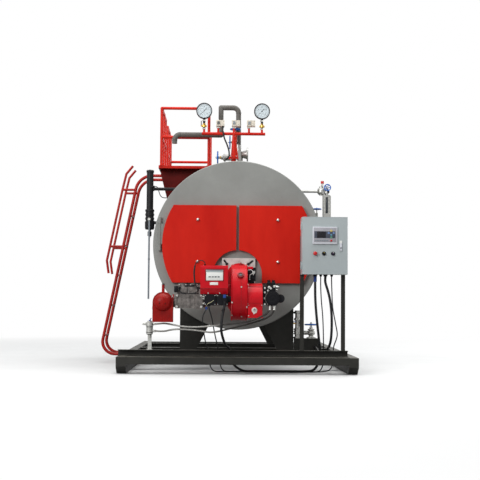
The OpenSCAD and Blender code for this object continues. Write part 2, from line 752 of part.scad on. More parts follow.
module cabinet_door() color(panel_grey) placed() {
  face = cab_front - cab_seat - cab_door_t;
  difference() {
    block([cab_x, face, cab_z], [cab_x + cab_w, face + cab_door_t, cab_z + cab_h]);
    block([cab_x + sheet, face + sheet, cab_z + sheet],
          [cab_x + cab_w - sheet, face + cab_door_t + 1, cab_z + cab_h - sheet]);
    for (x = [stop_x, mode_x, fuel_x])
      translate([x, face - 1, button_z]) along_y() cylinder(r = button_bore_r, h = cab_door_t);
  }
  // Frame of the burner controller
  block([cab_x + 108, face - 10, cab_z + 310], [cab_x + 355, face + 1, cab_z + 480]);
  // Flush lock
  translate([cab_x + 395, face - 5, cab_z + 292]) lock_body();
  for (z = cab_hinge_z) {
    difference() {
      translate([cab_hinge_x, cab_hinge_y, z + seat]) cylinder(r = cab_hinge_r, h = cab_hinge_len);
      translate([cab_hinge_x, cab_hinge_y, z]) cylinder(r = cab_pin_r + run, h = cab_hinge_len + 1);
    }
    difference() {
      block([cab_hinge_x, cab_hinge_y - 5, z + seat], [cab_x + 1, cab_hinge_y - 2, z + cab_hinge_len]);
      translate([cab_hinge_x, cab_hinge_y, z]) cylinder(r = cab_pin_r + run, h = cab_hinge_len + 1);
    }
  }
}

// Flush lock body: an upright plate with round ends
module lock_body() rotate([-90, 0, 0]) linear_extrude(6) {
  square([30, 90], center = true);
  for (y = [-45, 45]) translate([0, y]) circle(r = 15);
}

module emergency_stop() color(paint_red) placed() {
  face = cab_front - cab_seat - cab_door_t;
  translate([stop_x, face - 28, button_z]) along_y() {
    cylinder(r = 20, h = 14);
    cylinder(r = button_bore_r - run, h = 50);
  }
}

module selector(x) {
  face = cab_front - cab_seat - cab_door_t;
  translate([x, face - 12, button_z]) along_y() {
    cylinder(r = 15, h = 11);
    cylinder(r = button_bore_r - run, h = 32);
  }
  block([x - 4, face - 24, button_z - 14], [x + 4, face - 11, button_z + 14]);
}

module mode_switch() color(jet) placed() selector(mode_x);
module fuel_switch() color(jet) placed() selector(fuel_x);

module cabinet_stand() color(frame_grey) placed() {
  top = cab_z + 400;
  y0 = cab_front + cab_d;
  for (x = [cab_x - 3, cab_x + cab_w - post_w])
    block([x, y0, runner_h + channel_h], [x + post_w, y0 + post_w, top]);
}

/* Platform and ladder */

deck_t = 29;

module platform_deck() color(paint_red) placed() {
  y1 = plat_y + plat_len;
  floor_t = 4;
  edge = 5;
  difference() {
    block([-plat_left, plat_y, plat_z - deck_t], [-plat_right, y1, plat_z]);
    block([-plat_left + edge, plat_y + edge, plat_z - deck_t - 1],
          [-plat_right - edge, y1 - edge, plat_z - floor_t]);
  }
  for (y = bracket_y)
    block([-plat_left + edge, y - edge, plat_z - deck_t], [-plat_right - edge, y + edge, plat_z - floor_t]);
}

bracket_y = [plat_y + 150, plat_y + plat_len/2, plat_y + plat_len - 150];

// Gusset plates that stand on the shell and carry the deck
module platform_brackets() color(paint_red) placed() {
  plate = 12;
  top = plat_z - deck_t;
  for (y = bracket_y) {
    on_drum() plate_at(y - plate/2, plate) polygon([
      [-plat_left + 20, top], [-plat_right - 20, top], [-plat_right - 20, axis_z + drum_r*0.7],
      [-plat_left + 120, axis_z + drum_r*0.5], [-plat_left + 20, top - 60]]);
    block([-plat_left + 20, y - 30, top - 10], [-plat_right - 20, y + 30, top]);
  }
}

post_x = -plat_left + 30;
gate_in = 830;
gate_w = 450;
gate_y = [plat_y + gate_in, plat_y + gate_in + gate_w];
guard_top = plat_z + guard_h;
guard_mid = plat_z + guard_h/2;

// Upright post of the guard
module guard_post(x, y) translate([x, y, plat_z]) cylinder(r = guard_d/2, h = guard_h);

module platform_guard() color(paint_red) placed() {
  r = guard_d/2;
  x1 = -plat_right - 20;
  y0 = plat_y + 20;
  y1 = plat_y + plat_len - 20;
  for (y = [y0, (y0 + gate_y[0])/2, gate_y[0], gate_y[1], (gate_y[1] + y1)/2, y1]) guard_post(post_x, y);
  for (y = [y0, y1]) guard_post(x1, y);
  for (z = [guard_top, guard_mid]) {
    for (y = [y0, y1]) rod([post_x, y, z], [x1, y, z], r);
    rod([post_x, y0, z], [post_x, gate_y[0], z], r);
    rod([post_x, gate_y[1], z], [post_x, y1, z], r);
  }
  for (y = [y0, gate_y[0], gate_y[1], y1]) translate([post_x, y, guard_top]) sphere(r = r);
  for (y = [y0, y1]) translate([x1, y, guard_top]) sphere(r = r);
}

ladder_y = gate_y[0] + (gate_w - ladder_gap - stile_d)/2;
stile_lean = 368/1792;
stile_low_z = 279;
stile_high_z = 2071;
stile_foot_r = 145;
stile_lean_a = atan(stile_lean);
stile_head_z = plat_z - deck_t/2;
stile_head_r = (stile_head_z - stile_high_z)/(1 - sin(stile_lean_a));

// Place of a stile's middle at a height
function stile_x(z) = -ladder_foot_x + (z - stile_low_z)*stile_lean;

// Outer tube of the ladder's side, bent in to the platform's edge and to the runner
module stile(y) {
  r = stile_d/2;
  head_x = stile_x(stile_high_z) + stile_head_r*cos(stile_lean_a);
  foot_x = stile_x(stile_low_z) + stile_foot_r*cos(stile_lean_a);
  foot_z = stile_low_z - stile_foot_r*(1 + sin(stile_lean_a));
  rod([stile_x(stile_low_z - lap), y, stile_low_z - lap], [stile_x(stile_high_z + lap), y, stile_high_z + lap], r);
  translate([stile_x(stile_high_z), y, stile_high_z]) rotate([0, stile_lean_a, 0])
    bend(stile_head_r, r, 90 - stile_lean_a);
  translate([-plat_left, y, stile_head_z]) mirror([1, 0, 0]) along_x()
    cylinder(r = r, h = lap - plat_left - head_x);
  translate([stile_x(stile_low_z), y, stile_low_z]) rotate([0, stile_lean_a, 0])
    mirror([0, 0, 1]) bend(stile_foot_r, r, 90 + stile_lean_a);
  translate([-skid_half_w, y, foot_z]) mirror([1, 0, 0]) along_x()
    cylinder(r = r, h = lap - skid_half_w - foot_x);
}

rail_r = 14;
rail_off = 158;
rail_low_z = 1211;
rail_tie_z = [1380, 2060];
rung_low_z = 320;
rung_high_z = 2100;

// Handrail beside a stile, through the given heights
module handrail(y) {
  foot_turn = [22, 0, -151];
  head_turn = [42, 0, 179];
  hook = [78, 0, 96];
  top = [stile_x(stile_high_z) - rail_off, y, stile_high_z];
  foot = [stile_x(rail_low_z) - rail_off, y, rail_low_z];
  head = top + head_turn;
  rod(foot, top, rail_r);
  for (z = rail_tie_z) rod([stile_x(z) - rail_off, y, z], [stile_x(z), y, z], rail_r);
  corner(foot, rail_r);
  rod(foot, foot + foot_turn, rail_r);
  corner(top, rail_r);
  rod(top, head, rail_r);
  corner(head, rail_r);
  rod(head, head + hook, rail_r);
}

module ladder() color(paint_red) placed() {
  far_y = ladder_y + ladder_gap + stile_d;
  rung_r = 11;
  for (y = [ladder_y, far_y]) {
    stile(y);
    handrail(y);
  }
  for (z = [rung_low_z:rung_pitch:rung_high_z]) rod([stile_x(z), ladder_y, z], [stile_x(z), far_y, z], rung_r);
}

/* Valves */

// Handwheel in its own plane, hub at the origin, stem bore along z
module handwheel(r, rim_r, hub_r, hub_h, bore_r) {
  difference() {
    union() {
      rotate_extrude() translate([r - rim_r, 0]) circle(r = rim_r);
      cylinder(r = hub_r, h = hub_h, center = true);
      for (a = [0:72:359]) rotate(a) translate([0, -rim_r*0.7, -rim_r*0.5]) cube([r - rim_r, rim_r*1.4, rim_r]);
    }
    cylinder(r = bore_r, h = 4*hub_h, center = true);
  }
}

steam_y = 440;
steam_x = 10;
steam_z = 2334;
steam_wheel_x = -220;
steam_flange_x = 103;
nozzle_top = 2288;
steam_body_top = 2398;
stem_r = 7;
outlet_r = 76;
outlet_z = 2370;

module main_steam_valve() color(steel) placed() {
  on_drum() translate([steam_x, steam_y, axis_z]) cylinder(r = 44, h = nozzle_top - axis_z);
  translate([steam_x, steam_y, nozzle_top - 30]) cylinder(r = 70, h = 30);
  translate([steam_x, steam_y, nozzle_top]) cylinder(r = 50, h = steam_body_top - nozzle_top);
  translate([steam_wheel_x - 26, steam_y, steam_z]) along_x() {
    cylinder(r = stem_r, h = 60);
    translate([0, 0, 40]) cylinder(r = 14, h = 30);
    translate([0, 0, 66]) cylinder(r = 24, h = 30);
    translate([0, 0, 94]) cylinder(r = 42, h = 16);
    translate([0, 0, 108]) cylinder(r = 34, h = steam_x - steam_wheel_x - 82);
  }
  translate([steam_x, steam_y, outlet_z]) along_x() {
    cylinder(r = 26, h = 40);
    translate([0, 0, 36]) cylinder(r1 = 34, r2 = 52, h = steam_flange_x - steam_x - 36);
  }
  translate([steam_flange_x, steam_y, outlet_z]) along_x() difference() {
    cylinder(r = outlet_r, h = 14);
    translate([0, 0, 2]) cylinder(r = 25, h = 14);
    for (i = [0:3]) rotate(45 + 90*i) translate([outlet_r - 16, 0, -1]) cylinder(r = 7, h = 16);
  }
}

module main_steam_wheel() color(wheel_blue) placed()
  translate([steam_wheel_x, steam_y, steam_z]) along_x() handwheel(73, 8, 18, 22, stem_r + run);

safety_top = 2478;

module safety_valve() color(steel) placed() translate([steam_x, steam_y, steam_body_top]) {
  rib = 8;
  h = safety_top - steam_body_top;
  cylinder(r = 26, h = h);
  for (z = [0:2*rib:h - rib]) translate([0, 0, z]) cylinder(r = 34, h = rib);
}

vent_left_x = -186;
vent_crown_r = 60;
vent_arm_z = 2586;
vent_arm_end = -640;
vent_valve_z = 2506;
vent_wheel_x = -85;

module vent_pipe() color(frame_grey) placed() {
  r = vent_d/2;
  top = vent_top_z - r;
  translate([steam_x, steam_y, safety_top]) cylinder(r = r, h = top - vent_crown_r - safety_top);
  translate([steam_x, steam_y, top - vent_crown_r]) mirror([1, 0, 0]) bend(vent_crown_r, r, 90);
  translate([vent_left_x, steam_y, top]) along_x() cylinder(r = r, h = steam_x - vent_crown_r - vent_left_x);
  translate([vent_left_x, steam_y, top]) sphere(r = r);
  translate([vent_left_x, steam_y, vent_arm_z]) cylinder(r = r, h = top - vent_arm_z);
  translate([vent_left_x, steam_y, vent_arm_z]) sphere(r = r);
  translate([vent_arm_end, steam_y, vent_arm_z]) along_x() cylinder(r = r, h = vent_left_x - vent_arm_end);
  // Turned-down end
  translate([vent_arm_end, steam_y, vent_arm_z]) rotate([0, -90, 0]) mirror([1, 0, 0]) bend(vent_crown_r, r, 90);
  translate([vent_arm_end - vent_crown_r, steam_y, vent_arm_z - vent_crown_r - 40]) cylinder(r = r, h = 40);
  // Branch of the vent valve
  translate([vent_wheel_x - 20, steam_y, vent_valve_z]) along_x() {
    cylinder(r = 5, h = 60);
    translate([0, 0, 34]) cylinder(r = 12, h = steam_x - vent_wheel_x - 14);
    translate([0, 0, 50]) cylinder(r = 20, h = 30);
  }
}

module vent_valve_wheel() color(wheel_blue) placed()
  translate([vent_wheel_x, steam_y, vent_valve_z]) along_x() handwheel(76, 7, 14, 16, 5 + run);

/* Gauge header */

header_x = [-393, 298];
gauge_x = [-371, 263];
switch_x = [-216, -45, 121];
stand_x = -45;
stub_h = 60;
stand_z = 2290;
header_valve_z = 2638;
header_valve_back = 100;
cock_up = 24;

module gauge_header() color(paint_red) placed() {
  r = header_d/2;
  translate([header_x[0], header_y, header_z]) along_x() cylinder(r = r, h = header_x[1] - header_x[0]);
  for (x = concat(gauge_x, switch_x)) translate([x, header_y, header_z]) cylinder(r = 12, h = stub_h);
  on_drum() translate([stand_x, header_y, axis_z]) cylinder(r = 26, h = stand_z - axis_z);
  // Tapered riser between the foot flanges and the header
  translate([stand_x, header_y, stand_z]) rotate_extrude() polygon([
    [0, 0], [54, 0], [54, 12], [50, 13], [54, 14], [54, 26], [32, 28], [16, header_z - stand_z - 20],
    [16, header_z - stand_z], [0, header_z - stand_z]]);
  rod([stand_x + 42, header_y, stand_z + 20], [stand_x + 12, header_y, header_z - 30], 8);
  // Branch and body of the valve behind the header
  translate([stand_x + 20, header_y, header_valve_z - 130]) along_y() cylinder(r = 10, h = header_valve_back);
  translate([stand_x + 20, header_y + header_valve_back, header_valve_z - 142]) {
    cylinder(r = 18, h = 80);
    translate([0, 0, 78]) cylinder(r = 9, h = 40);
    cylinder(r = 5, h = 166);
  }
}

module pressure_gauges() color(jet) placed() {
  for (x = gauge_x) translate([x, header_y, 0]) {
    translate([0, -22, gauge_z]) along_y() difference() {
      cylinder(r = gauge_r, h = 44);
      translate([0, 0, -1]) cylinder(r = gauge_r - 9, h = 7);
    }
    translate([0, 0, header_z + stub_h]) {
      cylinder(r = 13, h = gauge_z - gauge_r - header_z - stub_h + 4);
      translate([0, 0, cock_up]) rotate([0, 90, 0]) cylinder(r = 10, h = 56, center = true);
      translate([0, 0, cock_up - 14]) cylinder(r = 19, h = 28, $fn = 24);
    }
  }
}

module pressure_switches() color([0.75, 0.71, 0.66]) placed() {
  for (x = switch_x) translate([x, header_y, header_z + stub_h]) {
    cylinder(r = 16, h = 20);
    block([-22, -34, 20], [68, 34, 85]);
  }
}

module header_valve_wheel() color(wheel_blue) placed()
  translate([stand_x + 20, header_y + header_valve_back, header_valve_z]) handwheel(62, 7, 14, 16, 5 + run);

/* Water level fittings */

column_y = 300;
column_x = 958;
column_pipe_z = [1590, 1961];

module level_column() color(jet) placed() {
  low = 1511;
  high = 2170;
  drain_low = 757;
  drain_high = 1621;
  drain_y = 236;
  drain_r = 9;
  // Column with its banded float chamber and cap
  translate([-column_x, column_y, 0]) rotate_extrude() polygon([
    [0, low - 70], [22, low - 66], [22, low - 20], [14, low - 16], [14, low],
    [44, low + 4], [52, low + 20], [52, low + 90], [44, low + 96], [44, low + 112], [50, low + 114],
    [50, low + 132], [44, low + 134], [44, low + 156], [50, low + 158], [50, low + 176], [44, low + 178],
    [44, low + 200], [50, low + 202], [50, low + 220], [37, low + 226], [37, high - 30], [42, high - 28], [42, high - 8],
    [30, high], [0, high]]);
  on_drum() for (z = column_pipe_z) rod([-column_x, column_y, z], [0, column_y, z], 17);
  // Drain pipe in front of the float chamber, with its union
  translate([-column_x, drain_y, drain_low]) cylinder(r = drain_r, h = drain_high - drain_low);
  corner([-column_x, drain_y, drain_high], drain_r);
  translate([-column_x, drain_y, drain_high]) along_y() cylinder(r = drain_r, h = column_y - drain_y);
  translate([-column_x, drain_y, drain_high - 11]) cylinder(r = 15, h = 27, $fn = 6);
  // Cable entry of the level switch
  rod([-column_x, column_route[0][1], column_route[0][2]], column_route[0], 10);
}

level_x = 981;
level_wheel_x = 984;
level_wheel_z = 1988;

module level_gauge() color(steel) placed() {
  low = 1440;
  high = 1910;
  ends = [low - 40, high + 38];
  half_w = 34;
  strip_half_w = 46;
  slot_half_w = 14;
  slots = [[low + 40, low + 224], [high - 202, high - 24]];
  valve_x = 923;
  cap_x = 934;
  cap_z = [ends[1] + 88, ends[1] + 116];
  neck_r = 18;
  // Body between its clamped cover strips, with two slots over the glass
  difference() {
    union() {
      block([level_x - half_w, column_y - 24, low], [level_x + half_w, column_y + 22, high]);
      block([level_x - strip_half_w, column_y - 10, low + 6], [level_x + strip_half_w, column_y + 10, high - 6]);
    }
    for (z = slots)
      block([level_x - slot_half_w, column_y - 25, z[0]], [level_x + slot_half_w, column_y - 12, z[1]]);
  }
  on_drum() for (z = ends) rod([level_x, column_y, z], [0, column_y, z], 14);
  // Lower valve body, and the fitting over the glass
  translate([level_x, column_y, ends[0]]) rotate_extrude() polygon([
    [0, -44], [20, -44], [20, -34], [32, -28], [38, -10], [38, 10], [32, 28], [20, 34], [20, 44], [0, 44]]);
  translate([level_x, column_y, ends[1]]) rotate_extrude() polygon([
    [0, -40], [neck_r, -40], [neck_r, -30], [26, -22], [26, 22], [20, 30], [0, 30]]);
  // Upper valve body beside the glass, with its capped stem
  translate([valve_x, column_y, ends[1]]) rotate_extrude() polygon([
    [0, -44], [22, -44], [22, -36], [38, -28], [46, -10], [46, 16], [38, 34], [24, 40], [24, 56], [0, 56]]);
  translate([cap_x, column_y, ends[1]]) cylinder(r = 10, h = cap_z[0] - ends[1] + 1);
  translate([cap_x, column_y, cap_z[0]]) cylinder(r = 17, h = cap_z[1] - cap_z[0]);
  // Drain, and the necks between the body and its ends
  translate([level_x, column_y, ends[0]]) cylinder(r = neck_r, h = low - ends[0] + 2);
  translate([level_x, column_y, ends[0] - 110]) cylinder(r = 9, h = 100);
  // Head and stem of the handwheel
  translate([level_wheel_x, column_y - 66, level_wheel_z]) along_y() cylinder(r = 5, h = 60);
  translate([level_wheel_x, column_y - 40, level_wheel_z]) along_y() cylinder(r = 13, h = 50);
  translate([level_wheel_x, column_y, ends[1]]) cylinder(r = 16, h = level_wheel_z - ends[1] + 20);
}

module level_gauge_wheel() color(wheel_blue) placed()
  translate([level_wheel_x, column_y - 58, level_wheel_z]) along_y() handwheel(40, 6, 12, 14, 5 + run);

side_x = 892;
side_y = column_y + 200;
side_wheel_z = 1773;

module side_valve() color(steel) placed() {
  z = side_wheel_z - 173;
  on_drum() rod([side_x + 60, side_y, z], [0, side_y, z], 22);
  translate([side_x + 46, side_y, z]) along_x() cylinder(r = 40, h = 14);
  translate([side_x, side_y, z]) rotate_extrude() polygon([
    [0, -34], [20, -34], [34, -16], [34, 22], [26, 34], [32, 38], [32, 52], [18, 56], [14, 70], [14, 130], [6, 132],
    [6, 190], [0, 190]]);
}

module side_valve_wheel() color(wheel_blue) placed()
  translate([side_x, side_y, side_wheel_z]) handwheel(54, 7, 14, 16, 6 + run);

feed_x = 658;
feed_y = 210;
feed_z = 492;
feed_wheel_off = 148;
feed_base_z = 344;
pedestal_half_d = 60;

module feed_line() color(steel) placed() {
  // Riser: foot flange, ribbed check valve, angled branch, union and bonnet
  translate([feed_x, feed_y, feed_base_z]) rotate_extrude() polygon([
    [0, 0], [46, 0], [46, 14], [30, 16], [30, 40], [42, 44], [42, 56], [34, 58], [34, 66], [42, 68], [42, 80],
    [34, 82], [34, 90], [42, 92], [42, 104], [26, 110], [26, 190], [34, 194], [34, 216], [26, 220], [26, 262],
    [44, 268], [44, 282], [30, 286], [30, 300], [0, 300]]);
  rod([feed_x, feed_y, feed_base_z + 128], [feed_x + 52, feed_y - 30, feed_base_z + 186], 19);
  // Globe valve beside it, with its flanges, yoke and stem
  translate([feed_x + feed_wheel_off, feed_y, feed_base_z]) {
    rotate_extrude() polygon([
      [0, 0], [50, 0], [50, 12], [26, 14], [24, 30], [40, 44], [44, 60], [40, 76], [26, 84], [36, 88], [36, 98],
      [20, 102], [15, 116], [15, 128], [stem_r, 130], [stem_r, 176], [0, 176]]);
    translate([-feed_wheel_off, 0, 60]) along_x() cylinder(r = 22, h = feed_wheel_off);
  }
}

module feed_valve_wheel() color(wheel_blue) placed()
  translate([feed_x + feed_wheel_off, feed_y, feed_z]) handwheel(72, 8, 17, 20, stem_r + run);

/* Cables and hoses */

// Routes from the burner's end to the other end
main_route = [[-137, -555, 740], [-137, -555, 700], [-160, -568, 570], [-168, -566, 455], [-152, -480, 372],
  [-126, -370, 300], [-96, -280, 266], [-84, -232, 258], [-74, -200, 205], [-40, -182, 90], [60, -180, 20],
  [200, -180, 14], [450, -180, 14], [680, -180, 14], [800, -182, 34], [856, -190, 130], [864, -206, 215],
  [860, -232, 262], [850, -280, 300], [830, -340, 430], [808, -385, 600], [795, -398, 757], [792, -400, 900],
  [792, -400, 999]];
signal_route = [[-319, -500, 684], [-319, -500, 664], [-355, -500, 585], [-356, -480, 495], [-340, -420, 390],
  [-322, -330, 290], [-308, -272, 256], [-303, -235, 248], [-298, -205, 200], [-285, -170, 90], [-240, -155, 14],
  [-120, -150, 8], [100, -148, 8], [400, -148, 8], [700, -150, 8], [850, -155, 14], [895, -170, 80],
  [900, -200, 190], [898, -226, 246], [894, -266, 272], [886, -330, 330], [878, -380, 470], [870, -398, 600],
  [856, -400, 757], [849, -400, 900], [849, -400, 999]];
sensor_route = [[-292, -500, 684], [-292, -500, 664], [-262, -490, 555], [-238, -440, 430], [-216, -380, 330],
  [-200, -300, 262], [-194, -244, 250], [-190, -212, 210], [-180, -150, 110], [-140, -122, 16], [0, -118, 8],
  [300, -118, 8], [650, -118, 8], [900, -125, 10], [985, -150, 50], [1000, -190, 170], [1000, -218, 240],
  [998, -256, 270], [1000, -310, 300], [1022, -380, 400], [1000, -420, 520], [970, -428, 680], [962, -420, 850],
  [961, -400, 950], [961, -400, 999]];
pump_route = [[897, -400, 999], [897, -400, 940], [924, -398, 850], [946, -394, 757], [962, -388, 620],
  [966, -372, 480], [962, -335, 355], [952, -285, 290], [944, -232, 262], [936, -190, 226], [912, -100, 200],
  [872, 0, 205], [850, 70, 240], [846, 105, 250], [846, 130, 250]];
header_route = [[-164, 232, 2631], [-164, 232, 2614], [-162, 222, 2592], [-158, 216, 2560], [-146, 212, 2510],
  [-118, 192, 2440], [-98, 172, 2370], [-98, 158, 2310], [-128, 150, 2276], [-140, 150, 2252], [-140, 150, 2232]];
column_route = [[-905, 275, 1985], [-890, 275, 1985], [-874, 268, 1974], [-862, 264, 1942], [-850, 264, 1902],
  [-830, 266, 1872], [-800, 270, 1862], [-765, 270, 1862], [-735, 270, 1862]];
valve_route = [[-595, -441, 860], [-595, -441, 845], [-582, -446, 828], [-550, -446, 818], [-505, -446, 816],
  [-455, -446, 819], [-424, -446, 830], [-411, -441, 845], [-411, -441, 860]];
box_route = [[-339, -530, 1112], [-339, -530, 1128], [-368, -530, 1150], [-412, -530, 1142], [-438, -530, 1100],
  [-446, -530, 1040], [-444, -530, 970], [-434, -530, 905], [-414, -530, 870], [-396, -530, 870]];
supply_route = [[hose_x[0], hose_y, pump_low], [320, -550, 662], [290, -555, 618], [230, -560, 586],
  [150, -560, 552], [20, -555, 525], [-180, -540, 500], [-400, -510, 478], [-560, -480, 482], [-650, -450, 496],
  [-740, -380, 508], [-800, -305, 504], [-835, -292, 501], [hose_port_x, filter_y, hose_port_z[0]]];
return_route = [[hose_x[1], hose_y, pump_low], [365, -550, 655], [332, -540, 602], [260, -525, 560],
  [120, -508, 515], [-60, -495, 468], [-253, -480, 425], [-380, -480, 438], [-480, -465, 448], [-600, -425, 452],
  [-680, -385, 444], [-740, -345, 430], [-800, -302, 426], [-835, -292, 428],
  [hose_port_x, filter_y, hose_port_z[1]]];
thick_r = 13;
thin_r = 6;
wire_r = 4.5;
hose_r = 9;

module main_cable() color(jet) placed() cord(main_route, thick_r);
module signal_cable() color(jet) placed() cord(signal_route, thin_r);
module sensor_cable() color(jet) placed() cord(sensor_route, thin_r);
module pump_cable() color(jet) placed() cord(pump_route, thick_r);
module header_cable() color(jet) placed() cord(header_route, wire_r, 3);
module column_cable() color(jet) placed() cord(column_route, wire_r, 3);
module valve_cable() color(jet) placed() cord(valve_route, wire_r, 3);
module box_cable() color(jet) placed() cord(box_route, wire_r, 3);
module supply_hose() color(steel) placed() cord(supply_route, hose_r, 3);
module return_hose() color(steel) placed() cord(return_route, hose_r, 3);

// Gland at a cord's end: a round sleeve on a hexagon nut, from p along z
module gland(p, r, h) translate(p) {
  cylinder(r = r + 6, h = h);
  translate([0, 0, h*0.4]) cylinder(r = r + 9, h = h*0.6, $fn = 6);
}

module cable_glands() color(jet) placed() {
  deep = 20;
  // Under the cabinet
  gland(last(main_route), thick_r, deep);
  for (q = [signal_route, sensor_route]) gland(last(q), thin_r, deep);
  gland(pump_route[0], thick_r, deep);
  // Under and in front of the burner's boxes
  for (q = [signal_route, sensor_route]) gland(q[0], 3, 12);
  block(main_route[0] - [20, thick_r, 0], main_route[0] + [20, thick_r + 2, 60]);
  // Control box, at its top and at its side
  translate(box_route[0]) mirror([0, 0, 1]) gland([0, 0, 0], 2, 12);
  translate(last(box_route)) along_x() gland([0, 0, 0], 2, 12);
  // Ends of the gas valves' cable
  for (q = [valve_route[0], last(valve_route)]) block(q - [10, 10, 0], q + [10, 11, 24]);
  // Pressure switch, shell and pedestal
  gland(header_route[0], 3, deep);
  on_drum() translate(last(header_route)) mirror([0, 0, 1]) gland([0, 0, 0], 3, 30);
  on_drum() translate(last(column_route)) along_x() gland([0, 0, 0], 3, 40);
  translate(last(pump_route)) along_y() gland([0, 0, 0], thick_r, feed_y - pedestal_half_d - last(pump_route)[1]);
}

skid_runners();
front_beam();
cross_members();
front_channel();
saddles();
boiler_shell();
front_plate();
tube_sheet();
rear_plate();
rear_smoke_box();
door_left();
door_right();
door_hinges();
burner_flange();
burner_housing();
burner_air_box();
burner_control_box();
burner_switch_boxes();
oil_pump();
gas_valve_block();
gas_regulator();
gas_pipe();
oil_filter();
cabinet_box();
cabinet_door();
cabinet_stand();
emergency_stop();
mode_switch();
fuel_switch();
platform_deck();
platform_guard();
platform_brackets();
ladder();
gauge_header();
pressure_gauges();
pressure_switches();
main_steam_valve();
main_steam_wheel();
header_valve_wheel();
safety_valve();
vent_pipe();
vent_valve_wheel();
level_column();
level_gauge();
level_gauge_wheel();
side_valve();
side_valve_wheel();
feed_line();
feed_valve_wheel();
cable_glands();
main_cable();
signal_cable();
sensor_cable();
pump_cable();
header_cable();
column_cable();
valve_cable();
box_cable();
supply_hose();
return_hose();
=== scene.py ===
# %% [markdown]
# # A horizontal steam boiler on its skid
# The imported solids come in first. They are the fixed frame, in metres, and nothing
# below moves them: this lesson gives each one its finish and adds the small things
# that a drawing leaves out, such as dials, screws, cables and seams.

# %% Load the frame
import math
import bmesh
import bpy
from mathutils import Matrix, Vector


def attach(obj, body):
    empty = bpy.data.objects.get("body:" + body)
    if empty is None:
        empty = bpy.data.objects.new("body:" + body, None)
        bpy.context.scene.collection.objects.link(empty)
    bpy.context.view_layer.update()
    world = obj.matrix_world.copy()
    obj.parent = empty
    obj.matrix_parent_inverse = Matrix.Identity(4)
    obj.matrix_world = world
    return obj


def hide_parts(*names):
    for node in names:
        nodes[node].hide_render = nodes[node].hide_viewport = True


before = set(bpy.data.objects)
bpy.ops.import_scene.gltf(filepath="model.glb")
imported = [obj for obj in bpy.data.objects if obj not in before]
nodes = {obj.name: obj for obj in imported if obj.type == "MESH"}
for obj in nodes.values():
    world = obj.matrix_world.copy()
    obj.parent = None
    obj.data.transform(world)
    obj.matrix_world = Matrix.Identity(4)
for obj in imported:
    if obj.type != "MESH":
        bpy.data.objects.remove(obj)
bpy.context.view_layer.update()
scene = bpy.context.scene

# %% [markdown]
# Distances on the boiler are easiest to read from its own axis: x to the right of the
# axis, y back from the face of the round front plate, z up from the ground, all in
# millimetres. One helper turns them into the frame's metres.

# %% Boiler coordinates
AXIS_X, FACE_Y = 0.1765, -1.502
AXIS_Z = 1338


def at(x, y, z):
    return Vector((x / 1000 + AXIS_X, y / 1000 + FACE_Y, z / 1000))


def add_object(name, data):
    made = bpy.data.objects.new(name, data)
    scene.collection.objects.link(made)
    return made


print("middle of the front plate:", tuple(round(v, 3) for v in at(0, 0, AXIS_Z)))

# %% [markdown]
# The photograph was taken from about eleven metres in front, at a person's chest
# height, a little left of the boiler's axis. A long lens keeps the round front round.
# The camera turns slightly to the right and up, and rolls by less than half a degree.

# %% Camera
PAN, TILT, ROLL = -1.16, 3.3, 0.4
camera = add_object("camera", bpy.data.cameras.new("camera"))
camera.data.sensor_width = 36
camera.data.lens = 77.55
camera.data.clip_end = 200
camera.location = at(-197, -11000, 757)
aim = Matrix()
for degrees, axis in ((PAN, "Z"), (90 + TILT, "X"), (ROLL, "Z")):
    aim = aim @ Matrix.Rotation(math.radians(degrees), 4, axis)
camera.rotation_euler = aim.to_euler()
scene.camera = camera
print("camera at", tuple(round(v, 3) for v in camera.location))

# %% [markdown]
# ## Cables and hoses
# Ten free cords leave the burner, the cabinet and the fittings. Each is a round tube
# along a smooth line, and that line passes through the same points that the drawing
# has, so that the cord lies where its solid does. The thick ones drop behind the front
# channel of the skid, run along the ground there and come up again on the other side.
# Two short thin wires are too small for the drawing: a white one loops over the servo
# motor, and a pale one runs from the switch boxes into the blue connector.

# %% Smooth lines through route points
def smooth_line(route, steps, radius):
    """Points in boiler millimetres along a smooth line through a route, no lower than the floor."""
    path = []
    for i in range(len(route) - 1):
        a, b, c, d = (Vector(route[max(0, min(len(route) - 1, k))]) for k in (i - 1, i, i + 1, i + 2))
        for k in range(steps):
            t = k / steps
            path.append((2 * b + (c - a) * t + (2 * a - 5 * b + 4 * c - d) * t * t
                         + (3 * b - a - 3 * c + d) * t ** 3) / 2)
    path.append(Vector(route[-1]))
    return [at(p.x, p.y, max(p.z, radius + 1)) for p in path]


def cord_piece(name, route, radius, steps=6):
    path = smooth_line(route, steps, radius)
    line = bpy.data.curves.new(name, "CURVE")
    line.dimensions = "3D"
    line.bevel_depth = 1.0
    line.bevel_resolution = 3
    line.use_fill_caps = True
    spline = line.splines.new("POLY")
    spline.points.add(len(path) - 1)
    for point, place in zip(spline.points, path):
        point.co = (*place, 1)
        point.radius = radius / 1000
    length = sum((b - a).length for a, b in zip(path, path[1:]))
    return add_object(name, line), path, length


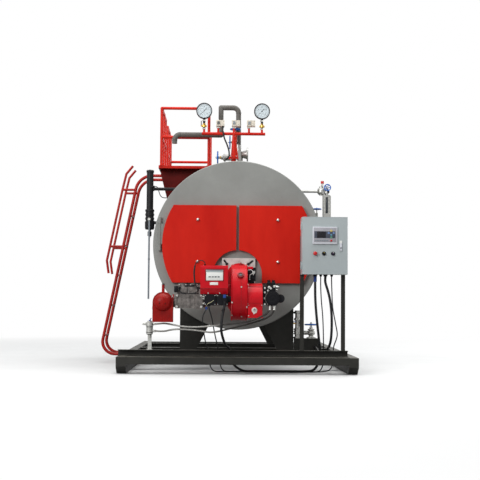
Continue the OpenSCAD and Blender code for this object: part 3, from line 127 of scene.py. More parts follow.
# %% Routes
routes = {
    "main_cable": (13, "stiff", [
        (-137, -555, 740), (-137, -555, 700), (-160, -568, 570), (-168, -566, 455), (-152, -480, 372),
        (-126, -370, 300), (-96, -280, 266), (-84, -232, 258), (-74, -200, 205), (-40, -182, 90),
        (60, -180, 20), (200, -180, 14), (450, -180, 14), (680, -180, 14), (800, -182, 34), (856, -190, 130),
        (864, -206, 215), (860, -232, 262), (850, -280, 300), (830, -340, 430), (808, -385, 600),
        (795, -398, 757), (792, -400, 900), (792, -400, 999)]),
    "signal_cable": (6, "medium", [
        (-319, -500, 684), (-319, -500, 664), (-355, -500, 585), (-356, -480, 495), (-340, -420, 390),
        (-322, -330, 290), (-308, -272, 256), (-303, -235, 248), (-298, -205, 200), (-285, -170, 90),
        (-240, -155, 14), (-120, -150, 8), (100, -148, 8), (400, -148, 8), (700, -150, 8), (850, -155, 14),
        (895, -170, 80), (900, -200, 190), (898, -226, 246), (894, -266, 272), (886, -330, 330),
        (878, -380, 470), (870, -398, 600), (856, -400, 757), (849, -400, 900), (849, -400, 999)]),
    "sensor_cable": (6, "medium", [
        (-292, -500, 684), (-292, -500, 664), (-262, -490, 555), (-238, -440, 430), (-216, -380, 330),
        (-200, -300, 262), (-194, -244, 250), (-190, -212, 210), (-180, -150, 110), (-140, -122, 16),
        (0, -118, 8), (300, -118, 8), (650, -118, 8), (900, -125, 10), (985, -150, 50), (1000, -190, 170),
        (1000, -218, 240), (998, -256, 270), (1000, -310, 300), (1022, -380, 400), (1000, -420, 520),
        (970, -428, 680), (962, -420, 850), (961, -400, 950), (961, -400, 999)]),
    "pump_cable": (13, "stiff", [
        (897, -400, 999), (897, -400, 940), (924, -398, 850), (946, -394, 757), (962, -388, 620),
        (966, -372, 480), (962, -335, 355), (952, -285, 290), (944, -232, 262), (936, -190, 226),
        (912, -100, 200), (872, 0, 205), (850, 70, 240), (846, 105, 250), (846, 130, 250)]),
    "header_cable": (4.5, "medium", [
        (-164, 232, 2631), (-164, 232, 2614), (-162, 222, 2592), (-158, 216, 2560), (-146, 212, 2510),
        (-118, 192, 2440), (-98, 172, 2370), (-98, 158, 2310), (-128, 150, 2276), (-140, 150, 2252),
        (-140, 150, 2232)]),
    "column_cable": (4.5, "medium", [
        (-905, 275, 1985), (-890, 275, 1985), (-874, 268, 1974), (-862, 264, 1942), (-850, 264, 1902),
        (-830, 266, 1872), (-800, 270, 1862), (-765, 270, 1862), (-735, 270, 1862)]),
    "valve_cable": (4.5, "medium", [
        (-595, -441, 860), (-595, -441, 845), (-582, -446, 828), (-550, -446, 818), (-505, -446, 816),
        (-455, -446, 819), (-424, -446, 830), (-411, -441, 845), (-411, -441, 860)]),
    "box_cable": (4.5, "medium", [
        (-339, -530, 1112), (-339, -530, 1128), (-368, -530, 1150), (-412, -530, 1142), (-438, -530, 1100),
        (-446, -530, 1040), (-444, -530, 970), (-434, -530, 905), (-414, -530, 870), (-396, -530, 870)]),
    "supply_hose": (9, "medium", [
        (320, -550, 689), (320, -550, 662), (290, -555, 618), (230, -560, 586), (150, -560, 552),
        (20, -555, 525), (-180, -540, 500), (-400, -510, 478), (-560, -480, 482), (-650, -450, 496),
        (-740, -380, 508), (-800, -305, 504), (-835, -292, 501), (-866, -292, 501)]),
    "return_hose": (9, "medium", [
        (365, -550, 689), (365, -550, 655), (332, -540, 602), (260, -525, 560), (120, -508, 515),
        (-60, -495, 468), (-253, -480, 425), (-380, -480, 438), (-480, -465, 448), (-600, -425, 452),
        (-680, -385, 444), (-740, -345, 430), (-800, -302, 426), (-835, -292, 428), (-866, -292, 428)]),
    "servo_lead": (3, "medium", [
        (99, -432, 1056), (104, -440, 1058), (130, -443, 1063), (150, -443, 1043), (156, -439, 1008)]),
    "signal_lead": (2.5, "medium",
                    [(-247, -543, 747), (-280, -549, 726), (-308, -545, 712), (-323, -512, 684)]),
}
cords, measured = {}, {}
for name, (radius, stiffness, route) in routes.items():
    title = name.replace("_cable", "_wire").replace("_hose", "_line")
    cord, path, length = cord_piece(title, route, radius)
    if name in nodes:
        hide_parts(name)
    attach(cord, "boiler")
    cords[name] = cord
    measured[name] = (path[0], length, radius, stiffness)
    print(f"{title}: {length:.2f} m")

# %% [markdown]
# ## Light and floor
# An overcast sky lights the real boiler from everywhere, a little more from above.
# The world is a soft white at a plain level, with one large soft lamp overhead, a
# nearer one at the left front and a weaker one at the right back, so that rounded
# steel still shows its shape. Seen directly, or in gloss, the world is pure white. The
# plain view transform shows each colour as it is written.

# %% Sky
def add(nt, kind, values=(), operation=None):
    """A shader node, with its inputs either linked or set."""
    made = nt.nodes.new("ShaderNode" + kind)
    if kind == "Mix":
        made.data_type = "RGBA"
    if operation:
        made.operation = operation
    for socket, value in dict(values).items():
        if isinstance(value, bpy.types.NodeSocket):
            nt.links.new(value, made.inputs[socket])
        else:
            made.inputs[socket].default_value = value
    return made


def seen_directly(nt):
    """1 for rays from the camera, off a gloss or through a pane, 0 for those that light things."""
    rays = add(nt, "LightPath").outputs
    seen = rays["Is Camera Ray"]
    for other in ("Is Glossy Ray", "Is Transmission Ray"):
        seen = add(nt, "Math", {0: seen, 1: rays[other]}, "MAXIMUM").outputs[0]
    return seen


SKY_STRENGTH = 0.45
scene.view_settings.view_transform = "Standard"
world = bpy.data.worlds.new("overcast")
scene.world = world
world.use_nodes = True
tree = world.node_tree
tree.nodes.clear()
sky = add(tree, "Background", {"Color": (0.93, 0.96, 1.0, 1), "Strength": SKY_STRENGTH})
white = add(tree, "Background", {"Color": (1, 1, 1, 1), "Strength": 1.0})
mix = add(tree, "MixShader", {"Fac": seen_directly(tree), 1: sky.outputs[0], 2: white.outputs[0]})
add(tree, "OutputWorld", {"Surface": mix.outputs[0]})
print("sky strength", SKY_STRENGTH)

# %% Soft lamps
def soft_lamp(name, place, target, size, watts):
    lamp = add_object(name, bpy.data.lights.new(name, "AREA"))
    lamp.data.shape = "RECTANGLE"
    lamp.data.size, lamp.data.size_y = size
    lamp.data.energy = watts
    lamp.location = place
    lamp.rotation_euler = (Vector(target) - Vector(place)).to_track_quat("-Z", "Y").to_euler()


soft_lamp("sky_window", (0.5, -1.5, 8.5), (0, 0, 1), (9, 9), 690)
soft_lamp("left_front", (-6.0, -10.0, 5.2), (0, 0, 1.3), (5, 4), 720)
soft_lamp("right_back", (7, 7, 5), (0, 0, 1.3), (5, 4), 360)

# %% Floor
bm = bmesh.new()
bmesh.ops.create_grid(bm, x_segments=1, y_segments=1, size=45)
floor_mesh = bpy.data.meshes.new("floor")
bm.to_mesh(floor_mesh)
bm.free()
floor = add_object("floor", floor_mesh)
floor.location.z = -0.002

# %% [markdown]
# ## Finishes
# Nearly everything here is painted steel. Real paint is never one colour: it has
# broad cloudy patches, a fine orange-peel skin, dust where it faces up and a duller
# sheen where it is touched. One builder makes all of the paints from those layers,
# in object coordinates so that the pattern stays on the steel when a piece moves.

# %% Node helpers
FEATHER = 0.0008


def new_finish(name):
    mat = bpy.data.materials.new(name)
    mat.use_nodes = True
    nt = mat.node_tree
    nt.nodes.clear()
    shade = add(nt, "BsdfPrincipled")
    end = add(nt, "OutputMaterial", {"Surface": shade.outputs[0]})
    return mat, nt, shade, end


def on_piece(nt):
    return add(nt, "TexCoord").outputs["Object"]


def place_node(nt, stretch=(1, 1, 1)):
    return add(nt, "Mapping", {"Vector": on_piece(nt), "Scale": stretch}).outputs["Vector"]


def clouds(nt, where, scale, detail=4, rough=0.55):
    return add(nt, "TexNoise",
               {"Vector": where, "Scale": scale, "Detail": detail, "Roughness": rough}).outputs["Fac"]


def span(nt, value, low, high, to_low=0.0, to_high=1.0):
    limits = {"From Min": low, "From Max": high, "To Min": to_low, "To Max": to_high}
    return add(nt, "MapRange", {"Value": value, **limits}).outputs["Result"]


def mottled(nt, where, scale, detail, rough, low=0.3, high=0.7, to_low=0.0, to_high=1.0):
    """Clouds with their middle tones drawn apart."""
    return span(nt, clouds(nt, where, scale, detail, rough), low, high, to_low, to_high)


def blend(nt, factor, a, b):
    a, b = ((*tone, 1) if isinstance(tone, tuple) else tone for tone in (a, b))
    return add(nt, "Mix", {"Factor": factor, "A": a, "B": b}).outputs["Result"]


def times(nt, a, b):
    return add(nt, "Math", {0: a, 1: b}, "MULTIPLY").outputs[0]


def along_axis(nt, vector, axis):
    return add(nt, "SeparateXYZ", {0: vector}).outputs[axis]


def facing_up(nt):
    return along_axis(nt, add(nt, "NewGeometry").outputs["Normal"], "Z")


def behind(nt, tone, y, colour):
    """The tone, changed to another colour further back than y, in boiler millimetres."""
    edge = at(0, y, 0).y
    return blend(nt, span(nt, along_axis(nt, on_piece(nt), "Y"), edge, edge + FEATHER), tone, colour)


def outside(nt, tone, radius, colour):
    """The tone, changed to another colour further than a radius from the boiler's axis."""
    middle = add(nt, "VectorMath", {0: on_piece(nt), 1: at(0, 0, AXIS_Z)}, "SUBTRACT")
    flat = add(nt, "VectorMath", {0: middle.outputs[0], 1: (1, 0, 1)}, "MULTIPLY")
    away = add(nt, "VectorMath", {0: flat.outputs[0]}, "LENGTH").outputs["Value"]
    return blend(nt, span(nt, away, radius / 1000, radius / 1000 + FEATHER), tone, colour)


def relief(nt, shade, height, depth):
    bump = add(nt, "Bump", {"Height": height, "Distance": depth, "Strength": 1.0})
    nt.links.new(bump.outputs[0], shade.inputs["Normal"])


def shade_of(colour):
    """A colour written as the eye sees it, 0 to 255, as the shader's linear light."""
    return tuple(v / 12.92 if v < 0.04045 else ((v + 0.055) / 1.055) ** 2.4
                 for v in (c / 255 for c in colour))


def darker(colour, share):
    return tuple(share * v for v in colour)


print("helpers ready")

# %% Paint
def paint(name, colour, dark, light, rough=0.42, patch=2.2, peel=0.0005, dust=0.35,
          dust_colour=(150, 143, 130), streak=(1, 1, 1), coat=0.0, scuff=0.0, scuff_colour=None,
          back=None, underside_shade=None, beyond=None, gloss=0.3):
    mat, nt, shade, _ = new_finish(name)
    where = place_node(nt)
    along = place_node(nt, streak)
    tint = blend(nt, mottled(nt, along, patch, 5, 0.6), shade_of(dark), shade_of(light))
    fine = mottled(nt, where, 38, 6, 0.65, 0.35, 0.65)
    tone = blend(nt, times(nt, fine, 0.35), tint, shade_of(colour))
    if scuff:
        marks = mottled(nt, along, 9, 8, 0.75, 0.66 - scuff * 0.08, 0.74, 0, 0.8)
        tone = blend(nt, marks, tone, shade_of(scuff_colour))
    grime = times(nt, span(nt, facing_up(nt), 0.25, 1.0), mottled(nt, where, 7, 6, 0.7, 0.3, 0.75))
    tone = blend(nt, times(nt, grime, dust), tone, shade_of(dust_colour))
    # Faces that point down turn to a darker colour: painted shade, as under the platform deck.
    if underside_shade:
        tone = blend(nt, span(nt, facing_up(nt), -0.5, -0.9), tone, shade_of(underside_shade))
    if back:
        soot = shade_of(back[1])
        tone = behind(nt, tone, back[0], blend(nt, fine, soot, darker(soot, 0.6)))
    if beyond:
        rest = shade_of(beyond[1])
        tone = outside(nt, tone, beyond[0], blend(nt, fine, rest, darker(rest, 0.85)))
    nt.links.new(tone, shade.inputs["Base Color"])
    nt.links.new(mottled(nt, where, 12, 5, 0.7, 0.3, 0.7, rough - 0.07, rough + 0.1),
                 shade.inputs["Roughness"])
    shade.inputs["Specular IOR Level"].default_value = gloss
    shade.inputs["Coat Weight"].default_value = coat
    shade.inputs["Coat Roughness"].default_value = 0.18
    relief(nt, shade, clouds(nt, where, 160, 3, 0.5), peel)
    return mat


shell_paint = paint("shell_paint", (135, 136, 131), (125, 126, 122), (145, 146, 141),
                    rough=0.48, patch=1.3, dust=0.2, gloss=0.2)
plate_paint = paint("front_plate_paint", (139, 140, 136), (128, 129, 125), (149, 150, 146),
                    rough=0.5, patch=1.8, dust=0.2, scuff=0.12, scuff_colour=(112, 110, 102),
                    back=(41, (70, 64, 58)), gloss=0.2)
sooty_steel = paint("sooty_steel", (84, 76, 68), (62, 56, 50), (104, 94, 82),
                    rough=0.7, patch=7, dust=0.5, dust_colour=(120, 108, 92), scuff=0.6,
                    scuff_colour=(116, 78, 52))
door_paint = paint("door_red", (197, 29, 16), (183, 21, 11), (208, 37, 22),
                   rough=0.38, patch=1.6, dust=0.12, streak=(2.2, 2.2, 0.6), gloss=0.12,
                   back=(-5.6, (196, 184, 160)), beyond=(800.5, (135, 136, 131)))
burner_paint = paint("burner_red", (194, 9, 26), (174, 6, 19), (208, 13, 32),
                     rough=0.3, patch=5, dust=0.1, coat=0.08, gloss=0.15)
rail_paint = paint("rail_red", (202, 38, 24), (184, 28, 17), (214, 47, 30),
                   rough=0.42, patch=6, dust=0.15, gloss=0.15)
# The deck's darker colour on faces that point down is painted shade.
deck_paint = paint("deck_red", (186, 32, 20), (160, 24, 14), (202, 42, 26),
                   rough=0.55, patch=5, dust=0.22, underside_shade=(92, 14, 11), gloss=0.12, scuff=0.3,
                   scuff_colour=(120, 92, 82))
burner_shadow = paint("burner_shadow", (120, 6, 14), (100, 4, 10), (138, 10, 20),
                      rough=0.34, patch=8, dust=0.15, coat=0.15, gloss=0.2)
# The brackets under the deck take a much darker copy of the platform's red: painted shade from the deck above
# them.
bracket_in_shade_paint = paint("red_bracket_in_shade", (88, 12, 9), (72, 9, 7), (104, 17, 13),
                      rough=0.5, patch=5, dust=0.2, gloss=0.1)
# The gas regulator, its housing and ridges, and the gas pipe take a darker copy of the red: painted shade.
regulator_in_shade_paint = paint("red_regulator_in_shade", (140, 14, 11), (106, 7, 6), (166, 22, 16),
                        rough=0.4, patch=9, dust=0.15, coat=0.05, gloss=0.12)
# Nearly black red for the regulator's slots: painted shade in their recesses.
regulator_slot_shade = paint("regulator_slot_shade", (74, 8, 7), (58, 5, 5), (88, 12, 10),
                        rough=0.5, patch=9, dust=0.1, gloss=0.1)
pipe_paint = paint("vent_grey", (96, 93, 88), (82, 77, 71), (110, 108, 104),
                   rough=0.45, patch=4, dust=0.2, gloss=0.25)
ladder_paint = paint("ladder_red", (160, 25, 17), (134, 17, 12), (180, 34, 22),
                     rough=0.45, patch=6, dust=0.25, gloss=0.25)
skid_paint = paint("skid_grey", (40, 40, 36), (30, 30, 27), (50, 49, 45),
                   rough=0.5, patch=4, dust=0.75, dust_colour=(128, 124, 114), gloss=0.2,
                   scuff=0.4, scuff_colour=(78, 75, 68))
panel_paint = paint("cabinet_grey", (171, 179, 180), (164, 172, 173), (177, 185, 186),
                    rough=0.38, patch=1.2, peel=0.0003, dust=0.1)
wheel_paint = paint("handwheel_blue", (26, 98, 184), (20, 80, 160), (40, 116, 204),
                    rough=0.35, patch=14, dust=0.15, coat=0.1, gloss=0.25)
print("paints ready")

# %% [markdown]
# Valves, pipes and castings are bare or lightly plated. Their colour changes little,
# and the grain shows in the gloss instead: long fine scratches on turned and drawn
# steel, and a sandy skin on castings.

# %% Metals, plastics and rubber
def bare_metal(name, colour, light, rough=0.35, grain=(1, 1, 1), sand=0.0004, metal=1.0, stain=0.25,
               mottle=6):
    mat, nt, shade, _ = new_finish(name)
    where = place_node(nt)
    drawn = place_node(nt, grain)
    tone = blend(nt, mottled(nt, where, mottle, 6, 0.65), shade_of(colour), shade_of(light))
    tone = blend(nt, mottled(nt, where, 28, 8, 0.8, 0.55, 0.75, 0, stain), tone, shade_of((96, 84, 70)))
    nt.links.new(tone, shade.inputs["Base Color"])
    shade.inputs["Metallic"].default_value = metal
    nt.links.new(mottled(nt, drawn, 90, 4, 0.7, 0.3, 0.7, rough - 0.1, rough + 0.14),
                 shade.inputs["Roughness"])
    relief(nt, shade, clouds(nt, drawn, 130, 4, 0.6), sand)
    return mat


def moulded(name, colour, light, rough=0.5, skin=0.0002, coat=0.0, gloss=0.2):
    mat, nt, shade, _ = new_finish(name)
    where = place_node(nt)
    tone = blend(nt, mottled(nt, where, 18, 5, 0.6), shade_of(colour), shade_of(light))
    grime = times(nt, span(nt, facing_up(nt), 0.3, 1.0), mottled(nt, where, 30, 5, 0.7, 0.3, 0.8))
    tone = blend(nt, times(nt, grime, 0.25), tone, shade_of((120, 115, 106)))
    nt.links.new(tone, shade.inputs["Base Color"])
    nt.links.new(mottled(nt, where, 45, 4, 0.6, 0.3, 0.7, rough - 0.08, rough + 0.08),
                 shade.inputs["Roughness"])
    shade.inputs["Specular IOR Level"].default_value = gloss
    shade.inputs["Coat Weight"].default_value = coat
    relief(nt, shade, clouds(nt, where, 420, 3, 0.5), skin)
    return mat


bare_steel = bare_metal("bare_steel", (150, 150, 146), (176, 176, 172), rough=0.36)
turned_steel = bare_metal("turned_steel", (176, 176, 172), (200, 200, 196), rough=0.28, sand=0.0001)
plate_steel = bare_metal("plate_steel", (150, 144, 140), (202, 194, 190), rough=0.38, stain=0.55, mottle=14)
cast_alloy = bare_metal("cast_alloy", (158, 158, 154), (186, 186, 182), rough=0.5, sand=0.001, metal=0.75)
rough_casting = bare_metal("rough_casting", (58, 54, 52), (128, 122, 118), rough=0.6, sand=0.0025,
                           metal=0.5, stain=0.5, mottle=24)
brass = bare_metal("brass", (178, 140, 66), (206, 168, 92), rough=0.32)
black_steel = paint("black_steel", (26, 26, 28), (20, 20, 22), (36, 36, 38),
                    rough=0.4, patch=6, dust=0.3, dust_colour=(92, 90, 86), gloss=0.15)
black_plastic = moulded("black_plastic", (15, 15, 18), (24, 24, 28), rough=0.45, gloss=0.1)
blue_plastic = moulded("blue_plastic", (30, 58, 128), (42, 74, 150), rough=0.4)
cream_plastic = moulded("cream_plastic", (216, 206, 190), (226, 217, 202), rough=0.5)
white_plastic = moulded("white_plastic", (224, 224, 220), (234, 234, 230), rough=0.45)
grey_plastic = moulded("grey_plastic", (122, 128, 134), (134, 140, 146), rough=0.45)
button_red = moulded("button_red", (182, 28, 32), (198, 38, 40), rough=0.3, coat=0.3)
button_yellow = moulded("button_yellow", (206, 182, 96), (216, 194, 112), rough=0.35)
button_green = moulded("button_green", (84, 138, 112), (96, 150, 124), rough=0.35)
key_blue = moulded("key_blue", (104, 128, 172), (118, 142, 184), rough=0.35)
pale_wire = moulded("pale_wire", (196, 190, 150), (214, 208, 172), rough=0.5)
button_purple = moulded("switch_purple", (38, 28, 48), (52, 40, 64), rough=0.4)
teal_plastic = moulded("key_teal", (84, 130, 156), (98, 144, 168), rough=0.4)
slate_plastic = moulded("keypad_slate", (66, 70, 82), (76, 80, 92), rough=0.4)
bezel_white = moulded("bezel_white", (205, 206, 212), (213, 214, 220), rough=0.45)
dull_plastic = moulded("plate_plastic", (160, 158, 164), (168, 166, 172), rough=0.5)
screen_black = moulded("screen_black", (26, 24, 30), (34, 32, 38), rough=0.3, skin=0.00002)
cable_rubber = moulded("cable_rubber", (22, 22, 24), (34, 34, 36), rough=0.55)
dark_screen = moulded("dark_screen", (50, 58, 66), (62, 72, 80), rough=0.16, skin=0.00002, coat=0.6)
smoked_glass = moulded("smoked_glass", (26, 30, 34), (40, 44, 50), rough=0.12, skin=0.00002, coat=0.8)
dial_face = moulded("dial_face", (206, 216, 220), (216, 225, 228), rough=0.5)
seal_rope = moulded("seal_rope", (186, 180, 166), (206, 200, 188), rough=0.85, skin=0.0012)
zinc = bare_metal("zinc_plate", (150, 154, 158), (184, 186, 188), rough=0.42, sand=0.0001)
print("metals and plastics ready")

# %% Clear panes and braided hose
def clear(name, tint):
    mat, nt, shade, _ = new_finish(name)
    film = clouds(nt, place_node(nt), 30, 4, 0.6)
    tint = shade_of(tint)
    tone = blend(nt, film, tint, tuple(min(1, v * 1.1) for v in tint))
    nt.links.new(tone, shade.inputs["Base Color"])
    nt.links.new(span(nt, film, 0.3, 0.7, 0.08, 0.13), shade.inputs["Alpha"])
    nt.links.new(span(nt, film, 0.3, 0.7, 0.03, 0.1), shade.inputs["Roughness"])
    return mat


def braided(name, pale, dark, pitch):
    """Woven wire: pale toward the filter at the left, darker toward the pump."""
    mat, nt, shade, _ = new_finish(name)
    weave = add(nt, "TexVoronoi", {"Vector": place_node(nt), "Scale": 1 / pitch})
    height = span(nt, weave.outputs["Distance"], 0.1, 0.62, 1.0, 0.0)
    to_pump = span(nt, along_axis(nt, on_piece(nt), "X"), at(-300, 0, 0).x, at(-120, 0, 0).x)
    ends = [blend(nt, height, darker(wire, 0.3), wire) for wire in map(shade_of, (pale, dark))]
    nt.links.new(blend(nt, to_pump, *ends), shade.inputs["Base Color"])
    nt.links.new(span(nt, height, 0, 1, 0.7, 0.38), shade.inputs["Roughness"])
    shade.inputs["Metallic"].default_value = 0.55
    relief(nt, shade, height, 0.0006)
    return mat


clear_pane = clear("clear_pane", (222, 228, 230))
steel_braid = braided("steel_braid", (208, 206, 200), (72, 68, 66), 0.0042)
for name, cord in cords.items():
    dressed = {"supply_hose": steel_braid, "return_hose": steel_braid, "servo_lead": white_plastic,
               "signal_lead": pale_wire}
    cord.data.materials.append(dressed.get(name, cable_rubber))
print("cords dressed:", len(cords))

# %% Floor finish
floor_finish, nt, shade, end = new_finish("pale_floor")
seen = seen_directly(nt)
pale = blend(nt, mottled(nt, place_node(nt), 1.5, 4, 0.5), (0.74, 0.74, 0.73), (0.77, 0.77, 0.76))
nt.links.new(blend(nt, seen, (0.17, 0.17, 0.165), pale), shade.inputs["Base Color"])
shade.inputs["Roughness"].default_value = 0.85
glow = add(nt, "Emission", {"Strength": 1.0})
reach = add(nt, "VectorMath", {0: place_node(nt)}, "LENGTH").outputs["Value"]
away = times(nt, span(nt, reach, 3.2, 9.0), seen)
far_white = add(nt, "MixShader", {"Fac": away, 1: shade.outputs[0], 2: glow.outputs[0]})
nt.links.new(far_white.outputs[0], end.inputs["Surface"])
floor.data.materials.append(floor_finish)

# %% [markdown]
# ## Finishes on the solids
# Each solid takes the finish of the real piece, but the platform brackets and the gas regulator take darker
# copies of theirs, with painted shade.

# %% Dress the solids
dress = {
    shell_paint: ["boiler_shell", "rear_plate", "rear_smoke_box", "door_hinges"],
    sooty_steel: ["tube_sheet"],
    plate_paint: ["front_plate"],
    door_paint: ["door_left", "door_right"],
    burner_paint: ["burner_housing", "burner_air_box", "burner_control_box"],
    # The regulator's and gas pipe's darker red is painted shade.
    regulator_in_shade_paint: ["gas_regulator", "gas_pipe"],
    rail_paint: ["platform_guard", "gauge_header"],
    # The brackets' darker red is painted shade.
    bracket_in_shade_paint: ["platform_brackets"],
    pipe_paint: ["vent_pipe"],
    deck_paint: ["platform_deck"],
    ladder_paint: ["ladder"],
    skid_paint: ["skid_runners", "front_beam", "cross_members", "front_channel", "saddles", "cabinet_stand"],
    panel_paint: ["cabinet_box", "cabinet_door"],
    plate_steel: ["burner_flange"],
    bare_steel: ["main_steam_valve", "safety_valve", "level_gauge", "side_valve", "feed_line"],
    rough_casting: ["gas_valve_block"],
    cast_alloy: ["oil_filter"],
    black_steel: ["pressure_gauges", "level_column"],
    black_plastic: ["burner_switch_boxes", "oil_pump", "mode_switch", "fuel_switch", "cable_glands"],
    cream_plastic: ["pressure_switches"],
    button_red: ["emergency_stop"],
    wheel_paint: [n for n in nodes if n.endswith("_wheel")],
}
for finish, names in dress.items():
    for name in names:
        nodes[name].data.materials.clear()
        nodes[name].data.materials.append(finish)
print("dressed:", sum(len(v) for v in dress.values()), "of", len(nodes))

# %% [markdown]
# ## Small pieces
# What a drawing leaves out is made here, in boiler millimetres, and rides on the body
# that carries it. Three makers cover most of it: a slab with softened edges, a shape
# turned about an axis from a profile of (radius, height) points, and a hexagon bolt.
# Each gives back a small bmesh, and one piece joins as many of them as share a finish.

# %% Makers
WAYS = {"x": Vector((1, 0, 0)), "-x": Vector((-1, 0, 0)), "y": Vector((0, 1, 0)), "-y": Vector((0, -1, 0)),
        "z": Vector((0, 0, 1)), "-z": Vector((0, 0, -1))}


def toward(place, way):
    """Where a shape made upright at the origin goes: to a place, pointing a way."""
    way = WAYS[way] if isinstance(way, str) else Vector(way)
    return Matrix.Translation(at(*place)) @ Vector((0, 0, 1)).rotation_difference(way).to_matrix().to_4x4()


def block(size, middle):
    part = bmesh.new()
    bmesh.ops.create_cube(part, size=1)
    bmesh.ops.scale(part, verts=part.verts, vec=size)
    bmesh.ops.translate(part, verts=part.verts, vec=middle)
    return part


def soften(part, edges, offset, segments):
    """Rounds edges off, by an offset in millimetres."""
    bmesh.ops.bevel(part, geom=edges, offset=offset / 1000, offset_type="OFFSET", segments=segments,
                    profile=0.5, affect="EDGES", clamp_overlap=True, material=-1)


def new_verts(made):
    return [g for g in made["geom"] if isinstance(g, bmesh.types.BMVert)]


def slab(low, high, edge=2.0, segments=2):
    a, b = at(*low), at(*high)
    part = block(b - a, (a + b) / 2)
    if edge:
        soften(part, part.edges[:], edge, segments)
    return part


def border(x0, x1, z0, z1, width, y0, y1, edge):
    """Four flat strips round a rectangle that faces the front."""
    strips = [slab((x0, y0, z), (x1, y1, z + width), edge) for z in (z0, z1 - width)]
    return strips + [slab((x, y0, z0), (x + width, y1, z1), edge) for x in (x0, x1 - width)]


def turned(profile, place, way="z", steps=32, angle=math.tau, start=0.0):
    part = bmesh.new()
    points = [part.verts.new((r / 1000, 0, h / 1000)) for r, h in profile]
    lines = [part.edges.new(pair) for pair in zip(points, points[1:])]
    bmesh.ops.rotate(part, verts=points, matrix=Matrix.Rotation(start, 3, "Z"))
    bmesh.ops.spin(part, geom=points + lines, axis=(0, 0, 1), angle=angle, steps=steps,
                   use_merge=angle == math.tau)
    bmesh.ops.remove_doubles(part, verts=part.verts, dist=1e-6)
    part.transform(toward(place, way))
    return part


def ring(radius, width, height, low, place, way="z", steps=48):
    """A flat ring: its middle radius, its width across, and its height above low."""
    a, b = radius - width / 2, radius + width / 2
    return turned([(a, low), (a, low + height), (b, low + height), (b, low), (a, low)], place, way, steps)


def bolt(place, way="-y", r=8.0, h=6.0, washer=True):
    part = bmesh.new()
    bmesh.ops.create_cone(part, cap_ends=True, segments=6, radius1=r / 1000, radius2=r / 1000, depth=h / 1000)
    bmesh.ops.translate(part, verts=part.verts, vec=(0, 0, h / 2000))
    soften(part, [e for e in part.edges if all(v.co.z > h / 1500 for v in e.verts)], r / 7, 1)
    if washer:
        rim = bmesh.ops.create_circle(part, cap_ends=True, segments=16, radius=r * 1.35 / 1000)["verts"]
        lifted = bmesh.ops.extrude_face_region(part, geom=[rim[0].link_faces[0]])
        bmesh.ops.translate(part, verts=new_verts(lifted), vec=(0, 0, h / 5000))
    part.transform(toward(place, way))
    return part


def nut(place, way, r, h, soft_top=True):
    """A hexagon with its lower corners turned off, and its upper ones too if it ends free."""
    top = [(r, h - 1), (r - 1, h)] if soft_top else [(r, h)]
    return turned([(0, 0), (r - 1, 0), (r, 1)] + top + [(0, h)], place, way, 6)


def screw(place, way="-y", r=5.0, h=3.0, steps=14):
    """A round cheese head with a soft rim and a hollow for the driver."""
    head = [(0, h * 0.55), (r * 0.42, h * 0.55), (r * 0.5, h), (r * 0.86, h), (r, h * 0.7), (r, -0.5),
            (0, -0.5)]
    return turned(head, place, way, steps)


def on_circle(x, z, radius, angle):
    return x + radius * math.cos(angle), z + radius * math.sin(angle)


def bolt_circle(place, way, radius, count, r=8.0, h=6.0, turn=0.0):
    """Bolts on a circle about an axis through a place, pointing a way."""
    frame_of = toward(place, way)
    parts = []
    for i in range(count):
        a = turn + math.tau * i / count
        spot = frame_of @ Vector((radius / 1000 * math.cos(a), radius / 1000 * math.sin(a), 0)) - at(0, 0, 0)
        parts.append(bolt(tuple(spot * 1000), way, r, h))
    return parts


def bead(place, way, r, size=3.0, steps=28):
    """A weld bead round a tube of radius r."""
    return turned([(r - 1, -size), (r + size * 0.75, -size * 0.3), (r + size * 0.75, size * 0.3),
                   (r - 1, size)],
                  place, way, steps)


def bar(a, b, r, steps=16):
    """A round bar between two points, with soft ends."""
    way = Vector(b) - Vector(a)
    length = way.length
    soft = min(r * 0.35, length / 4)
    rod = [(0, 0), (r - soft, 0), (r, soft), (r, length - soft), (r - soft, length), (0, length)]
    return turned(rod, a, way.normalized(), steps)


def piece(name, parts, finish, body="boiler"):
    """Joins small meshes into one piece, normals outward, smooth but for its sharp edges."""
    whole = bmesh.new()
    for part in parts:
        bmesh.ops.recalc_face_normals(part, faces=part.faces)
        scrap = bpy.data.meshes.new("scrap")
        part.to_mesh(scrap)
        whole.from_mesh(scrap)
        bpy.data.meshes.remove(scrap)
        part.free()
    mesh = bpy.data.meshes.new(name)
    whole.to_mesh(mesh)
    whole.free()
    mesh.shade_smooth()
    mesh.set_sharp_from_angle(angle=math.radians(32))
    mesh.materials.append(finish)
    made = add_object(name, mesh)
    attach(made, body)
    print(f"{name}: {len(mesh.polygons)} faces on {body}")
    return made


# %% [markdown]
# ## The front doors
# Each door is held shut by two studs with domed nuts. The nuts are plated and bright,
# so they are pieces of their own over the drawing's plain ones: a hexagon with its
# corners turned off, and a dome.

# %% Domed nuts and hinge caps
DOME = [(14.6, 3), (14.6, 14), (13.6, 19), (11, 23.4), (6.5, 26.6), (0, 27.8), (0, 3), (14.6, 3)]
for side, body in ((-1, "left_door"), (1, "right_door")):
    parts = []
    for z in (1157, 1603):
        place = (side * 425, -50, z)
        parts += [bolt(place, r=17.2, h=11, washer=False), turned(DOME, place, "-y", 28)]
    piece(f"{body}_nuts", parts, turned_steel, body)
HINGE_CAP = [(0, 5), (8, 5), (14, 2.4), (16.6, 0), (16.6, -1), (0, -1)]
piece("hinge_caps", [turned(HINGE_CAP, (s * 828, -27.5, 1449 + z), way)
                     for s in (-1, 1) for z, way in ((178.5, "z"), (-178.5, "-z"))], shell_paint)

